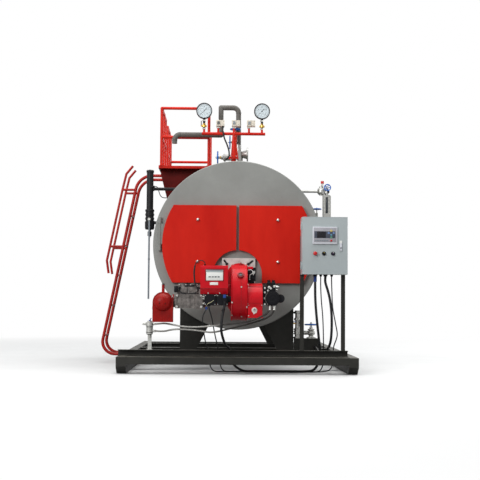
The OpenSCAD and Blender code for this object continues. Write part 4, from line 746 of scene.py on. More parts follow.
# %% [markdown]
# ## The burner
# The burner hangs on a bright square plate by two slotted clamps. Its fan housing has a
# seam down the middle of the front and a few plated screws, the control box has a
# window over its controller with four keys, and everything that carries oil or gas is
# held by small bright bolts.

# %% Mounting plate and clamps
clamps = []
for a, b in (((-144, -33, 1176), (-112, -33, 1134)), ((164, -33, 1171), (116, -33, 1134))):
    clamps += [bar(a, b, 10), bolt((b[0], -40, b[2]), "-y", 11, 9)]
piece("flange_clamps", clamps, black_steel)
piece("flange_screws",
      [screw((13 + x * 158, -30, 1021 + z * 158), "-y", 8, 4) for x in (-1, 1) for z in (-1, 1)],
      turned_steel)

# %% Fan housing: seam, screws, sight glass
FAN = (13, -308, 829)


def on_fan(x, angle, r):
    """A place on the fan housing's front, from its angle above level, and the way out there."""
    a = math.radians(angle)
    way = Vector((0, -math.cos(a), math.sin(a)))
    return (x, FAN[1] + way.y * r, FAN[2] + way.z * r), way


piece("housing_seam", [turned([(284.4, 15.6), (286.4, 16), (286.4, 18), (284.4, 18.4)], FAN, "x", 60,
                              angle=math.radians(104), start=math.radians(236))], burner_shadow)
screws = []
for x, angle, r in ((32, 11, 284.5), (37, -58.5, 284.5), (-62, 82, 291), (78, 82, 291), (-62, -20, 291),
                    (88, -30, 291), (-62, -52, 291)):
    screws.append(screw(*on_fan(x, angle, r), 8.5, 6))
piece("housing_screws", screws, turned_steel)
spot, way = on_fan(23, 36, 303.5)
piece("sight_glass_ring",
      [turned([(17.5, 3), (19.5, 4.6), (25, 4.6), (33, 1), (33.6, -14), (17.5, -14), (17.5, 3)],
              spot, way, 36)], burner_shadow)
piece("sight_glass", [turned([(0, 1.6), (13, 0.8), (17.6, -2), (17.6, -5), (0, -5)], spot, way, 32)],
      smoked_glass)


# %% Lifting eye, bracket and servo
eye = bmesh.new()
bmesh.ops.create_circle(eye, segments=12, radius=0.0045)
bmesh.ops.translate(eye, verts=eye.verts, vec=(0.013, 0, 0))
bmesh.ops.spin(eye, geom=eye.verts[:] + eye.edges[:], axis=(0, 1, 0), angle=math.tau, steps=28,
               use_merge=True)
eye.transform(Matrix.Translation(at(30, -330, 1127)) @ Matrix.Rotation(math.radians(90), 4, "Z"))
piece("lifting_eye", [eye, turned([(0, 0), (15, 0), (15, 6), (9, 9), (0, 9)], (30, -330, 1112), "z", 20)],
      burner_shadow)
piece("side_bracket",
      [slab((100, -446, 1067), (153, -428, 1094), 4), slab((97, -440, 1088), (112, -300, 1096), 2)],
      burner_paint)
servo = [screw((x, -430, 1046), "-y", 7, 5) for x in (147, 168)] + [screw((120, -430, 966), "-y", 5, 3)]
servo += [bolt((97, -560, z), "x", 7, 5) for z in (908, 720)]
piece("servo_screws", servo, turned_steel)
piece("servo_cover",
      [slab((108, -437, 996), (171, -429, 1056), 5, 3), turned([(0, 0), (11, 0), (11, 8), (8, 12), (0, 12)],
                                                               (150, -434, 974), "-y", 24)], black_plastic)
piece("servo_linkage",
      [bar((118, -441, 975), (118, -441, 1008), 4.5), bar((118, -441, 1008), (160, -441, 1034), 4.5),
       turned([(0, 0), (12, 0), (14, 2), (14, 8), (0, 10)], (160, -437, 1034), "-y", 20)], bare_steel)

# %% Air box: covers, pointer and screws
flat_front = [slab((99, -560, 577), (246, -430, 712), 5, 3), slab((97, -566, 574), (250, -430, 584), 2)]
piece("air_box_front", flat_front, burner_paint)
seams = [bar((104, -504, 888), (240, -504, 888), 3), bar((104, -562, 716), (240, -562, 716), 3)]
piece("air_box_seams", seams, burner_shadow)
pointer = turned([(0, 4), (24, 4), (28.5, 1), (28.5, -1), (0, -1)], (165, -561, 650), "-y", 40)
tip = bmesh.new()
bmesh.ops.create_cone(tip, cap_ends=True, segments=3, radius1=0.0225, radius2=0.0225, depth=0.0038)
bmesh.ops.scale(tip, verts=tip.verts, vec=(0.95, 1.15, 1))
soften(tip, [e for e in tip.edges if abs(e.verts[0].co.z - e.verts[1].co.z) > 0.001], 4, 3)
tip.transform(toward((165, -562.5, 628), "-y") @ Matrix.Rotation(math.radians(-90), 4, "Z"))
piece("damper_pointer", [pointer, tip], plate_steel)
piece("damper_mark",
      [slab((162, -567, 646), (168, -564, 668), 1), ring(12, 3, 1, 0, (165, -564.6, 650), "-y", 28)],
      black_steel)
box_screws = [screw((106, -561, 703), "-y", 6, 5), screw((106, -561, 596), "-y", 6, 5),
              screw((238, -561, 703), "-y", 6, 5),
              screw((106, -507, 880), "-y", 6, 5)]
piece("air_box_screws", box_screws, turned_steel)

# %% Control box: window, keys, bare plate and screws
BOX = -562
frame_parts = [slab((-331, BOX - 4, z), (-149, BOX + 3, z + 7), 2) for z in (1057, 941)]
frame_parts += [slab((x, BOX - 4, 941), (x + 8, BOX + 3, 1064), 2) for x in (-334, -154)]
piece("window_frame", frame_parts, burner_shadow)
piece("controller_face", [slab((-326, BOX - 1, 948), (-154, BOX + 6, 1031), 2)], white_plastic)
piece("controller_band", [slab((-326, BOX - 1.5, 1031), (-154, BOX + 6, 1057), 1.5)], panel_paint)
piece("controller_display", [slab((-320, BOX - 2.4, 1046), (-160, BOX + 2, 1056), 1)], grey_plastic)
piece("box_skirt_seam", [slab((-385, BOX - 1.6, 866), (-102, BOX + 3, 869), 0.8)], burner_shadow)
piece("controller_keys",
      [slab((x - 11, BOX - 4, 979), (x + 11, BOX + 2, 990), 2) for x in (-289, -259, -229, -199)],
      dark_screen)
piece("bare_plate", [slab((-286, BOX - 2.5, 902), (-203, BOX + 2, 931), 2.2, 3)], white_plastic)
piece("control_box_screws", [screw((x, -536, 822), (0, -0.82, -0.57), 7, 5) for x in (-303, -187)]
      + [screw((x, -445 - 60, 1099.5), "z", 6, 4) for x in (-350, -137)], turned_steel)

# %% Switch boxes, connectors and fittings
piece("main_connector", [slab((-152, -571, 772), (-122, -541, 806), 4, 3)], blue_plastic)
piece("main_gland_nut", [turned([(13.4, 0), (17, 2), (17, 20), (13.4, 24)], (-137, -555, 700), "z", 24)],
      black_plastic)
piece("signal_connector",
      [turned([(6.3, 0), (11, 1), (12, 8), (12, 24), (9, 28), (6.3, 28)], (-319, -500, 655), "z", 20)],
      blue_plastic)
fittings = []
for y, z, r in ((-500, 787, 13), (-492, 764, 9), (-500, 717, 12)):
    gland = [(0, 0), (r, 0), (r, 7), (r * 0.8, 8), (r * 0.8, 17), (r * 0.55, 20), (0, 20)]
    fittings.append(turned(gland, (-341, y, z), "-x", 6))
    fittings.append(turned([(0, -1), (r * 1.15, -1), (r * 1.15, 3), (0, 3)], (-341, y, z), "-x", 20))
piece("box_fittings", fittings, turned_steel)
piece("box_lid_screws",
      [screw((x, -540, z), "-y", 4.5, 3) for x in (-330, -234, -207, -111) for z in (709, 796)],
      turned_steel)
tie = [ring(15.5, 4, 7, -3, (-146, -560, 655), (0.2, 0.1, -0.97), 28),
       bar((-160, -572, 652), (-172, -592, 640), 2.4, 8),
       slab((-158, -579, 650), (-148, -569, 660), 1.5)]
cable_tie = piece("cable_tie", tie, black_plastic)

# %% Oil pump: cover rings, coils and unions
PUMP_X, PUMP_Z = 349, 772
COVER = [(0, 3.5), (14, 3.5), (16, 2), (36, 2), (38, 3.8), (44, 3.8), (46, 2), (60.6, 1), (61.4, -11),
         (0, -11)]
pump = [turned(COVER, (PUMP_X, -596, PUMP_Z), "-y", 48), ring(66.5, 5, 3.5, 0, (PUMP_X, -588, PUMP_Z), "-y")]
piece("pump_cover", pump, black_plastic)
piece("pump_ring",
      [turned([(73.2, 0), (77, 1), (77, 15), (73.2, 16), (73.2, 0)], (PUMP_X, -520, PUMP_Z), "-y", 48),
       turned([(42.2, 0), (45, 1), (45, 8), (42.2, 9), (42.2, 0)], (427, -520, 770), "-y", 36)],
      rough_casting)
spots = [on_circle(PUMP_X, PUMP_Z, 66, a) for a in (0.6, 1.9, 3.3, 4.6, 5.5)]
piece("pump_cover_screws", [screw((x, -584, z), "-y", 5.5, 5) for x, z in spots], black_steel)
coils = []
for x in (310, 356):
    coils += [slab((x - 20, -562, 905), (x + 20, -510, 937), 5, 3),
              slab((x - 13, -566, 908), (x + 13, -560, 930), 2),
              ring(16.5, 6, 4, 0, (x, -534, 946), "z", 28)]
piece("pump_coils", coils, black_plastic)
unions = []
for x, y, z, way, r, h in ((312, -561, 884, "-y", 10, 9), (329, -561, 872, "-y", 8, 7),
                           (364, -561, 893, "-y", 9, 9),
                           (379, -534, 889, "x", 11, 26), (379, -534, 860, "x", 7, 16),
                           (300, -561, 850, "-y", 7, 6)):
    unions += [bolt((x, y, z), way, r, h),
               turned([(0, 0), (r * 0.55, 0), (r * 0.55, h + 7), (r * 0.3, h + 9), (0, h + 9)], (x, y, z),
                      way, 18)]
piece("pump_unions", unions, turned_steel)
piece("pump_flange_bolts", [bolt((271, -520, z), "-y", 7, 6) for z in (712, 772, 832, 876)], turned_steel)
hose_ends = []
for x in (320, 365):
    crimp = [(9.2, 0), (12, 1), (12.6, 10), (11.4, 22), (12.4, 24), (11.8, 34), (9.2, 36)]
    hose_ends += [bolt((x, -550, 697), "-z", 16, 11, washer=False), turned(crimp, (x, -550, 688), "-z", 24)]
piece("hose_ends_pump", hose_ends, turned_steel)

# %% Gas train: bolts, coil and cast ends
gas = [bolt((x, -454, z), "-y", 8.5, 7) for x in (-623, -373) for z in (681, 794)]
gas += [screw((x, -430, 905), "-y", 6, 4) for x in (-600, -532, -484, -416)]
gas += [bolt((x, *on_circle(-380, 740, 55, a)), way, 8, 7)
        for x, way in ((-328, "x"), (-668, "-x")) for a in (0.8, 2.36, 3.93, 5.5)]
piece("gas_block_bolts", gas, turned_steel)
piece("gas_coil",
      [slab((-650, -470, 826), (-614, -428, 892), 5, 3), slab((-645, -474, 836), (-619, -468, 880), 2)],
      black_plastic)
piece("gas_block_ends", [slab((x - 12, -458, 700), (x + 12, -452, 812), 3) for x in (-633, -365)]
      + [slab((-597, -437, 824), (-515, -426, 880), 4)], rough_casting)
piece("gas_block_recess",
      [slab((-545, -432.5, 884), (-443, -428, 907), 2), slab((-606, -455.5, 812), (-392, -452, 818), 1)],
      black_steel)

# %% Regulator housing
def arched(radius, x, z_mid, z_low, y_back, depth, edge):
    """A block with a round top: half a disc, drawn down to its foot and out to its depth."""
    part = bmesh.new()
    bmesh.ops.create_circle(part, cap_ends=True, segments=48, radius=radius / 1000)
    bmesh.ops.bisect_plane(part, geom=part.verts[:] + part.edges[:] + part.faces[:], plane_co=(0, 0, 0),
                           plane_no=(0, -1, 0), clear_outer=True)
    foot = [e for e in part.edges if all(abs(v.co.y) < 1e-6 for v in e.verts)]
    drawn = bmesh.ops.extrude_edge_only(part, edges=foot)
    bmesh.ops.translate(part, verts=new_verts(drawn), vec=(0, (z_low - z_mid) / 1000, 0))
    lifted = bmesh.ops.extrude_face_region(part, geom=part.faces[:])
    bmesh.ops.translate(part, verts=new_verts(lifted), vec=(0, 0, depth / 1000))
    rim = [e for e in part.edges if all(v.co.z > depth / 2000 for v in e.verts) and len(e.link_faces) == 2
           and e.calc_face_angle(0) > 0.8]
    soften(part, rim, edge, 4)
    part.transform(Matrix.Translation(at(x, y_back, z_mid)) @ Matrix.Rotation(math.radians(90), 4, "X"))
    return part


BONNET = [(0, 52), (22, 50.5), (44, 45), (64, 35), (80, 21), (90, 6), (93, -4), (0, -4)]
piece("regulator_housing",
      [arched(103, -764, 726, 524, -345, 136, 26), turned(BONNET, (-764, -481, 724), "-y", 48)],
      regulator_in_shade_paint)
# The slots are raised bars in the darkest red: painted shade where the housing is recessed.
slots = [bar((x, -524, 704), (x + lean, -516, 766), 9) for x, lean in ((-792, 12), (-736, -12))]
piece("regulator_slots", slots, regulator_slot_shade)
ridges = [bar((-764, -532, 700), (-764, -512, 790), 5), bar((-764, -481, 530), (-764, -481, 618), 2.5)]
piece("regulator_ridge", ridges, regulator_in_shade_paint)
piece("regulator_bolts",
      [bolt((x, -470, z), "-y", 6.5, 6, washer=False) for x in (-850, -678) for z in (546, 640)],
      turned_steel)
piece("regulator_cap",
      [turned([(0, 12), (9, 12), (12, 9), (12, 3), (18, 1), (18, -1), (0, -1)], (-764, -400, 906), "z", 24)],
      black_plastic)

# %% Oil filter: tap, fittings and hose ends
filter_bits = []
for z in (501, 428):
    filter_bits += [bolt((-868, -292, z), "-x", 15, 10, washer=False),
                    turned([(9.2, 0), (12, 1), (12.4, 18), (11.2, 28), (9.2, 30)], (-867, -292, z), "x", 24)]
filter_bits += [turned([(0, 0), (13, 0), (13, 8), (9, 9), (9, 20), (0, 20)], (-960, -292, 501), "-x", 6),
                screw((-906, -292, 374), "-z", 9, 6)]
piece("filter_fittings", filter_bits, turned_steel)
piece("filter_tap",
      [slab((-916, -300, 532), (-892, -284, 540), 2), bar((-904, -292, 538), (-890, -292, 562), 5)],
      blue_plastic)
piece("filter_bands", [ring(35.6, 3.4, 5, 0, (-906, -292, z)) for z in (412, 468)], black_steel)

# %% [markdown]
# ## The control cabinet
# The door carries a small touch panel in a pale bezel, six round keys in bright
# colours and a row of eight small ones, a mushroom stop button, two selectors and a
# flush lock. They are plastic or plated pieces on the painted door, and they swing
# with it. The keys carry no words here.

# %% Controller
DOOR = -505
piece("controller_bezel", [slab((754, DOOR - 16, 1326), (1007, DOOR - 0.5, 1502), 4, 3)], bezel_white,
      "panel_door")
piece("controller_plate", [slab((766, DOOR - 18, 1347), (996, DOOR - 15, 1494), 1.5)], dull_plastic,
      "panel_door")
piece("controller_strip", [slab((771, DOOR - 18.6, 1387), (985, DOOR - 17, 1457), 0.6)], slate_plastic,
      "panel_door")
piece("controller_screen", [slab((797, DOOR - 19.5, 1389), (888, DOOR - 17, 1455), 1),
                            slab((802, DOOR - 20.3, 1394), (883, DOOR - 18, 1450), 0.5)], screen_black,
      "panel_door")
piece("keypad_panel", [slab((898, DOOR - 19, 1389), (985, DOOR - 17, 1455), 1)], slate_plastic, "panel_door")


def key(x, z, r=11.0):
    return turned([(0, 3.2), (r * 0.78, 3), (r, 1.4), (r, -1), (0, -1)], (x, DOOR - 19, z), "-y", 24)


for colour, finish, spots in (("yellow", button_yellow, [(944, 1462)]),
                              ("blue", key_blue, [(918, 1439), (969, 1439)]),
                              ("teal", teal_plastic, [(944, 1421)]), ("green", button_green, [(944, 1396)]),
                              ("red", button_red, [(944, 1362)])):
    piece(f"{colour}_keys", [key(*spot) for spot in spots], finish, "panel_door")
piece("small_keys",
      [slab((x - 6.5, DOOR - 20, 1355), (x + 6.5, DOOR - 17, 1369), 1.5) for x in range(781, 911, 18)],
      grey_plastic, "panel_door")
piece("bezel_screws", [screw((x, DOOR - 18, z), "-y", 3, 1.5, 12) for x in (766, 995) for z in (1338, 1490)],
      turned_steel, "panel_door")

# %% Stop button and selectors
BUTTON_Z = 1231
piece("stop_cap", [turned([(0, 6.5), (9, 6), (16, 4), (20.4, 0), (20.8, -3), (20.4, -13.5), (0, -13.5)],
                          (780, DOOR - 28, BUTTON_Z), "-y", 40)], button_red, "stop_button")
piece("stop_neck",
      [turned([(10.9, 0), (14, 0), (14, 7.5), (10.9, 7.5)], (780, DOOR - 14.4, BUTTON_Z), "y", 32)],
      black_plastic, "stop_button")
piece("button_collars", [ring(17, 4, 7, 0, (780, DOOR, BUTTON_Z), "-y", 36),
                         ring(18.2, 5, 5, 0, (871, DOOR, BUTTON_Z), "-y", 36),
                         ring(18.2, 5, 5, 0, (963, DOOR, BUTTON_Z), "-y", 36)], black_plastic, "panel_door")
for x, body, grip, tip in ((871, "mode_knob", black_plastic, button_yellow),
                           (963, "fuel_knob", button_purple, white_plastic)):
    piece(f"{body}_grip",
          [slab((x - 5.5, DOOR - 27, BUTTON_Z - 15.5), (x + 5.5, DOOR - 11.4, BUTTON_Z + 15.5), 2.5, 3),
           turned([(0, 0), (13, 0), (15.3, -2), (15.3, -9), (0, -9)], (x, DOOR - 12.5, BUTTON_Z), "-y", 36)],
          grip, body)
    piece(f"{body}_mark",
          [slab((x - 2.4, DOOR - 28.2, BUTTON_Z + 3), (x + 2.4, DOOR - 26, BUTTON_Z + 14), 1)], tip, body)

# %% Lock, door edge, seal and mounting plate
piece("lock_plate", [slab((1031, DOOR - 8, 1334), (1057, DOOR - 4.5, 1362), 6, 4)], white_plastic,
      "panel_door")
piece("lock_cover", [slab((1032, DOOR - 9, 1262), (1056, DOOR - 4.5, 1338), 4, 3)], bezel_white, "panel_door")
piece("keyhole", [turned([(0, 4), (6, 4), (8, 2), (8, 0), (0, 0)], (1044, DOOR - 7, 1288), "-y", 28),
                  slab((1042.8, DOOR - 11.6, 1284), (1045.2, DOOR - 10.4, 1292), 0.3)], slate_plastic,
      "panel_door")
X0, X1, Z0, Z1 = 649, 1113, 1019, 1605
piece("door_edge", border(X0, X1, Z0, Z1, 5, DOOR - 0.8, DOOR + 0.6, 0.7), panel_paint, "panel_door")
piece("door_seal", border(X0 + 3, X1 - 3, Z0 + 3, Z1 - 3, 10, -485.5, -482, 1.2), cable_rubber, "panel_door")
piece("mounting_plate", [slab((X0 + 24, -306, Z0 + 24), (X1 - 24, -303.5, Z1 - 24), 0.6)], zinc)
piece("mounting_nuts",
      [bolt((x, -306, z), "-y", 6, 5) for x in (X0 + 40, X1 - 40) for z in (Z0 + 40, Z1 - 40)], turned_steel)
piece("cabinet_bolts", [bolt((x + 20, -260, z), "y", 8, 7) for x in (646, 1073) for z in (1060, 1390)],
      turned_steel)
piece("stand_welds", [slab((x - 3, -303, 234), (x + 43, -258, 239), 2) for x in (646, 1073)], skid_paint)
main_sleeve = piece("main_sleeve",
                    [turned([(13.3, 0), (17, 1.5), (17, 53.5), (13.3, 55)], (792, -400, 945), "z", 24)],
                    blue_plastic)


# %% [markdown]
# ## Gauges, header and steam valves
# Two round gauges stand on brass cocks at the ends of the red header, with three
# pressure switches between them. A dial is a pale disc with fifty-one fine marks, five
# plain numbers and a needle that rests at zero, behind a clear pane.

# %% Dials
GAUGES = (-371, 263)
GAUGE_Z = 2821
ZERO, SWEEP = math.radians(225), math.radians(-270)


def on_dial(x, share, r, y=233.2):
    """A place on a dial, at a share of its sweep from zero."""
    a = ZERO + SWEEP * share
    return x + r * math.cos(a), y, GAUGE_Z + r * math.sin(a)


def stroke(x, share, inner, outer, width):
    """A flat mark along a dial's radius."""
    part = block(((outer - inner) / 1000, 0.0006, width / 1000), ((outer + inner) / 2000, 0, 0))
    part.transform(Matrix.Translation(at(x, 233.2, GAUGE_Z)) @ Matrix.Rotation(-(ZERO + SWEEP * share), 4,
                                                                               "Y"))
    return part


def numeral(text, place, size):
    """Plain numerals as a flat mesh that faces the front."""
    line = bpy.data.curves.new("numeral", "FONT")
    line.body, line.size, line.align_x, line.align_y = text, size / 1000, "CENTER", "CENTER"
    line.extrude = 0.0002
    holder = add_object("numeral", line)
    flat = bpy.data.meshes.new_from_object(holder.evaluated_get(bpy.context.evaluated_depsgraph_get()))
    part = bmesh.new()
    part.from_mesh(flat)
    bpy.data.meshes.remove(flat)
    bpy.data.objects.remove(holder)
    bpy.data.curves.remove(line)
    part.transform(Matrix.Translation(at(*place)) @ Matrix.Rotation(math.radians(90), 4, "X"))
    return part


marks, needles, dials, panes, rims = [], [], [], [], []
for x in GAUGES:
    dials.append(turned([(0, 0.8), (77.6, 0.8), (77.6, 0), (0, 0)], (x, 234, GAUGE_Z), "-y", 64))
    marks += [stroke(x, i / 50, 62 if i % 5 == 0 else 67, 72, 2.0 if i % 5 == 0 else 1.0) for i in range(51)]
    marks += [numeral(str(4 * i), on_dial(x, i / 4, 46), 17) for i in range(5)]
    needles += [stroke(x, 0.0, -26, 60, 3.2),
                turned([(0, 1.2), (7, 1.2), (7, 0), (0, 0)], on_dial(x, 0.0, -26), "-y", 20),
                turned([(0, 3), (5, 3), (7, 1.5), (7, 0), (0, 0)], (x, 233.2, GAUGE_Z), "-y", 24)]
    panes.append(turned([(0, 0.9), (79, 0.9), (79, 0), (0, 0)], (x, 230.6, GAUGE_Z), "-y", 64))
    rims.append(turned([(78, 0), (79, 2.4), (85.5, 2.4), (87.4, 0), (87.4, -12), (86.8, -13)],
                       (x, 228, GAUGE_Z), "-y", 72))
piece("gauge_dials", dials, dial_face)
piece("gauge_marks", marks, black_plastic)
piece("gauge_needles", needles, black_plastic)
piece("gauge_panes", panes, clear_pane)
piece("gauge_rims", rims, black_steel)

# %% Gauge cocks
cocks, unions = [], []
for x in GAUGES:
    cocks += [turned([(0, -15), (17, -15), (19.8, -12), (19.8, 12), (17, 15), (0, 15)], (x, 250, 2655), "z",
                     32),
              turned([(0, -29), (10, -29), (11, -27), (11, 27), (10, 29), (0, 29)], (x, 250, 2655), "x", 24),
              turned([(13.4, 0), (15, 1), (15, 5), (13.4, 6)], (x, 250, 2676), "z", 24)]
    unions += [nut((x, 250, 2706), "z", 19, 16), nut((x, 250, 2618), "z", 18, 14)]
piece("gauge_cocks", cocks, brass)
piece("gauge_unions", unions, turned_steel)
piece("cock_lever",
      [slab((-408, 245, 2650), (-398, 255, 2660), 2), bar((-403, 250, 2655), (-403, 250, 2712), 4.5)],
      black_steel)

# %% Pressure switches
SWITCHES = (-216, -45, 121)
frames, seams, heads, necks = [], [], [], []
for x in SWITCHES:
    frames += border(x - 14, x + 20, 2665, 2707, 3, 214, 217, 0.8)
    seams += [slab((x + 24.6, 215.5, 2652), (x + 26, 217, 2715), 0),
              slab((x - 21.5, 215.5, 2659), (x + 67, 217, 2660), 0)]
    heads += [screw((x + 54, 216, z), "-y", 4.5, 3) for z in (2671, 2702)]
    necks += [turned([(0, 0), (19, 0), (19, 9), (0, 9)], (x, 250, 2632), "z", 6),
              turned([(0, 0), (8, 0), (9, 1), (9, 8), (7, 10), (0, 10)], (x + 2, 250, 2715.5), "z", 20)]
piece("switch_frames", frames, cream_plastic)
piece("switch_seams", seams, black_plastic)
piece("switch_screws", heads, turned_steel)
piece("switch_necks", necks, turned_steel)
piece("switch_window_dark", [slab((SWITCHES[0] - 11, 214.6, 2668), (SWITCHES[0] + 17, 217, 2704), 0.6)],
      smoked_glass)
piece("switch_windows", [slab((x - 11, 214.6, 2668), (x + 17, 217, 2704), 0.6) for x in SWITCHES[1:]],
      grey_plastic)
piece("switch_scales", [slab((x - 7, 213.9, z), (x + dx, 215, z + 1.2), 0) for x in SWITCHES
                        for z, dx in ((2674, 6), (2680, 2), (2686, 6), (2692, 2), (2698, 6))], white_plastic)

# %% Flange bolts, welds and hub nuts of the steam fittings
flanges = bolt_circle((-45, 250, 2316), "z", 43, 4, 7, 7, 0.785) + bolt_circle((-45, 250, 2290), "-z", 43, 4,
                                                                               7, 7, 0.785)
flanges += bolt_circle((10, 440, 2288), "z", 60, 6, 7, 7) + bolt_circle((10, 440, 2258), "-z", 59, 6, 7, 7)
flanges += bolt_circle((-152, 440, 2334), "-x", 33, 6, 5.5, 6)
piece("steam_flange_bolts", flanges, turned_steel)
glands = [nut((-196, 440, 2334), "x", 17, 13), nut((-68, 440, 2506), "x", 13.5, 10, soft_top=False),
          nut((-25, 350, 2590), "z", 13, 9, soft_top=False), nut((-25, 350, 2574), "z", 21, 14)]
piece("gland_nuts", glands, brass)
welds = [bead((10, 440, z), "z", 28.5) for z in (2481, 2832)]
welds += [bead((-640, 440, 2586), "x", 28.5), bead((-215, 440, 2586), "x", 28.5),
          bead((-186, 440, 2615), "z", 28.5), bead((-700, 440, 2524), "z", 28.5)]
piece("vent_welds", welds, skid_paint)
piece("header_welds", [bead((x, 250, 2588), "z", 12, 2.5) for x in (-371, -216, -45, 121, 263)]
      + [turned([(0, 3), (12, 2.4), (16.8, 0), (16.8, -2), (0, -2)], (x, 250, 2571), way, 28)
         for x, way in ((-393, "-x"), (298, "x"))], rail_paint)
for body, place, way, r, h in (("steam_handwheel", (-231, 440, 2334), "-x", 12, 9),
                               ("vent_handwheel", (-93, 440, 2506), "-x", 9, 7),
                               ("header_handwheel", (-25, 350, 2646), "z", 10, 8),
                               ("level_handwheel", (984, 235, 1988), "-y", 8, 6),
                               ("side_handwheel", (892, 500, 1781), "z", 10, 6),
                               ("feed_handwheel", (806, 210, 502), "z", 12, 9)):
    piece(f"{body}_nut", [bolt(place, way, r, h)], turned_steel, body)


# %% [markdown]
# ## Level fittings, side valve and feed line
# The level gauge on the right is a steel body whose cover is held by two rows of small
# bolts, with dark glass in two slots. The column on the left is black, with a pale
# drain pipe in front of it. A small blue cock sits on the feed line.

# %% Level gauge
LEVEL_X = 981
piece("level_bolts",
      [bolt((LEVEL_X + s * 24, 276, z), "-y", 5.6, 5) for s in (-1, 1) for z in range(1458, 1900, 41)],
      turned_steel)
piece("level_studs", [bolt((LEVEL_X + s * 40, 290, z), "-y", 4.4, 4, washer=False) for s in (-1, 1)
                      for z in range(1478, 1900, 41)], turned_steel)
piece("level_glass",
      [slab((LEVEL_X - 13, 283.5, z), (LEVEL_X + 13, 289, z + h), 0.8)
       for z, h in ((1481, 182), (1709, 176))],
      smoked_glass)
piece("level_ridges",
      [slab((LEVEL_X + dx - 0.8, 282.6, z), (LEVEL_X + dx + 0.8, 284, z + h), 0.3) for dx in (-8, -4, 0, 4, 8)
       for z, h in ((1483, 178), (1711, 172))], dark_screen)
piece("level_cap",
      [turned([(0, 30), (11, 30), (16, 28), (18.4, 24), (18.4, 1), (17, -0.5), (0, -0.5)], (934, 300, 2036),
              "z", 32)], button_red)
piece("level_knob",
      [turned([(0, 16), (9, 16), (11, 13), (11, 3), (9, 0), (0, 0)], (1000, 284, 1943), "-y", 24)],
      black_plastic)
level_nuts = [turned([(0, 0), (20, 0), (21.4, 1.4), (21.4, 13), (20, 14), (0, 14)], (LEVEL_X, 300, z), "z", 6)
              for z in (1424, 1912)]
level_nuts += [nut((LEVEL_X, 300, 1290), "z", 14, 11, soft_top=False),
               nut((984, 262, 1988), "-y", 17, 9, soft_top=False),
               nut((934, 300, 2006), "z", 17, 11, soft_top=False)]
piece("level_nuts", level_nuts, turned_steel)
piece("level_welds", [bead((x, 300, z), "x", 14) for x, z in ((884, 1400), (644, 1948))], bare_steel)

# %% Level column
column = [turned([(0, 0), (15, 0), (17.4, 2), (17.4, 25), (15, 27), (0, 27)], (-958, 236, 1610), "z", 6),
          bolt((-958, 300, 1440), "-z", 12, 10)]
column += bolt_circle((-958, 300, 2162), "z", 36, 6, 5, 6)
piece("column_fittings", column, turned_steel)
piece("drain_pipe", [turned([(9.4, 0), (9.4, 852)], (-958, 236, 758), "z", 20),
                     turned([(9, 0), (12, 1), (12, 16), (9, 17)], (-958, 236, 1180), "z", 20)], grey_plastic)
piece("column_bolts", [bolt((*on_circle(-958, 300, 47, a), z), "z", 4, 5, washer=False)
                       for z in (1643, 1687, 1731) for a in [math.tau * (i + 0.5) / 6 for i in range(6)]],
      black_steel)
piece("column_collars", [turned([(17.2, 0), (24, 1), (24, 13), (17.2, 14)], (x, 300, z), "-x", 28)
                         for x, z in ((-905, 1590), (-910, 1961))], black_steel)

# %% Side valve and feed line
side = bolt_circle((952, 500, 1600), "x", 31, 4, 6, 6, 0.785)
side += [turned([(0, 0), (16, 0), (18, 1), (18, 12), (16, 14), (0, 14)], (892, 500, 1660), "z", 6)]
piece("side_valve_bolts", side, turned_steel)
feed = bolt_circle((658, 210, 358), "z", 38, 4, 6, 6, 0.785) + bolt_circle((806, 210, 356), "z", 40, 4, 6, 6,
                                                                           0.785)
feed += bolt_circle((658, 210, 626), "z", 37, 6, 5, 6) + bolt_circle((806, 210, 442), "z", 30, 4, 5, 6)
feed += [turned([(0, 0), (36, 0), (38, 2), (38, 18), (36, 20), (0, 20)], (658, 210, 539), "z", 6),
         turned([(0, 0), (18, 0), (19, 1), (19, 13), (0, 14)], (806, 210, 450), "z", 6)]
piece("feed_bolts", feed, turned_steel)
piece("check_valve_cap",
      [turned([(0, 12), (9, 12), (12, 8), (19.4, 6), (21, 4), (21, -8), (0, -8)], (709.5, 180.5, 529.5),
              (52, -30, 58), 6)], brass)
piece("drain_cock", [bar((650, 206, 503), (619, 182, 506), 7), bar((619, 182, 498), (619, 182, 527), 4),
                     turned([(0, 0), (11, 0), (12, 2), (12, 14), (0, 14)], (619, 182, 497), "z", 6)], brass)
piece("drain_wheel", [ring(18, 7, 7, 0, (619, 182, 519), "z", 36), slab((603, 179, 520), (635, 185, 525), 1),
                      slab((616, 166, 520), (622, 198, 525), 1),
                      turned([(0, 0), (6, 0), (6, 9), (0, 9)], (619, 182, 518),
                             "z", 16)], wheel_paint)
piece("feed_base_plate", [slab((620, 148, 340), (886, 272, 344.6), 1.2)], skid_paint)

# %% [markdown]
# ## Platform, ladder and skid
# Welded steelwork shows its beads: round ones where tubes meet, straight ones where
# plates stand on beams. The ladder ends in small bolted pads, and the guard's posts
# stand on round feet.

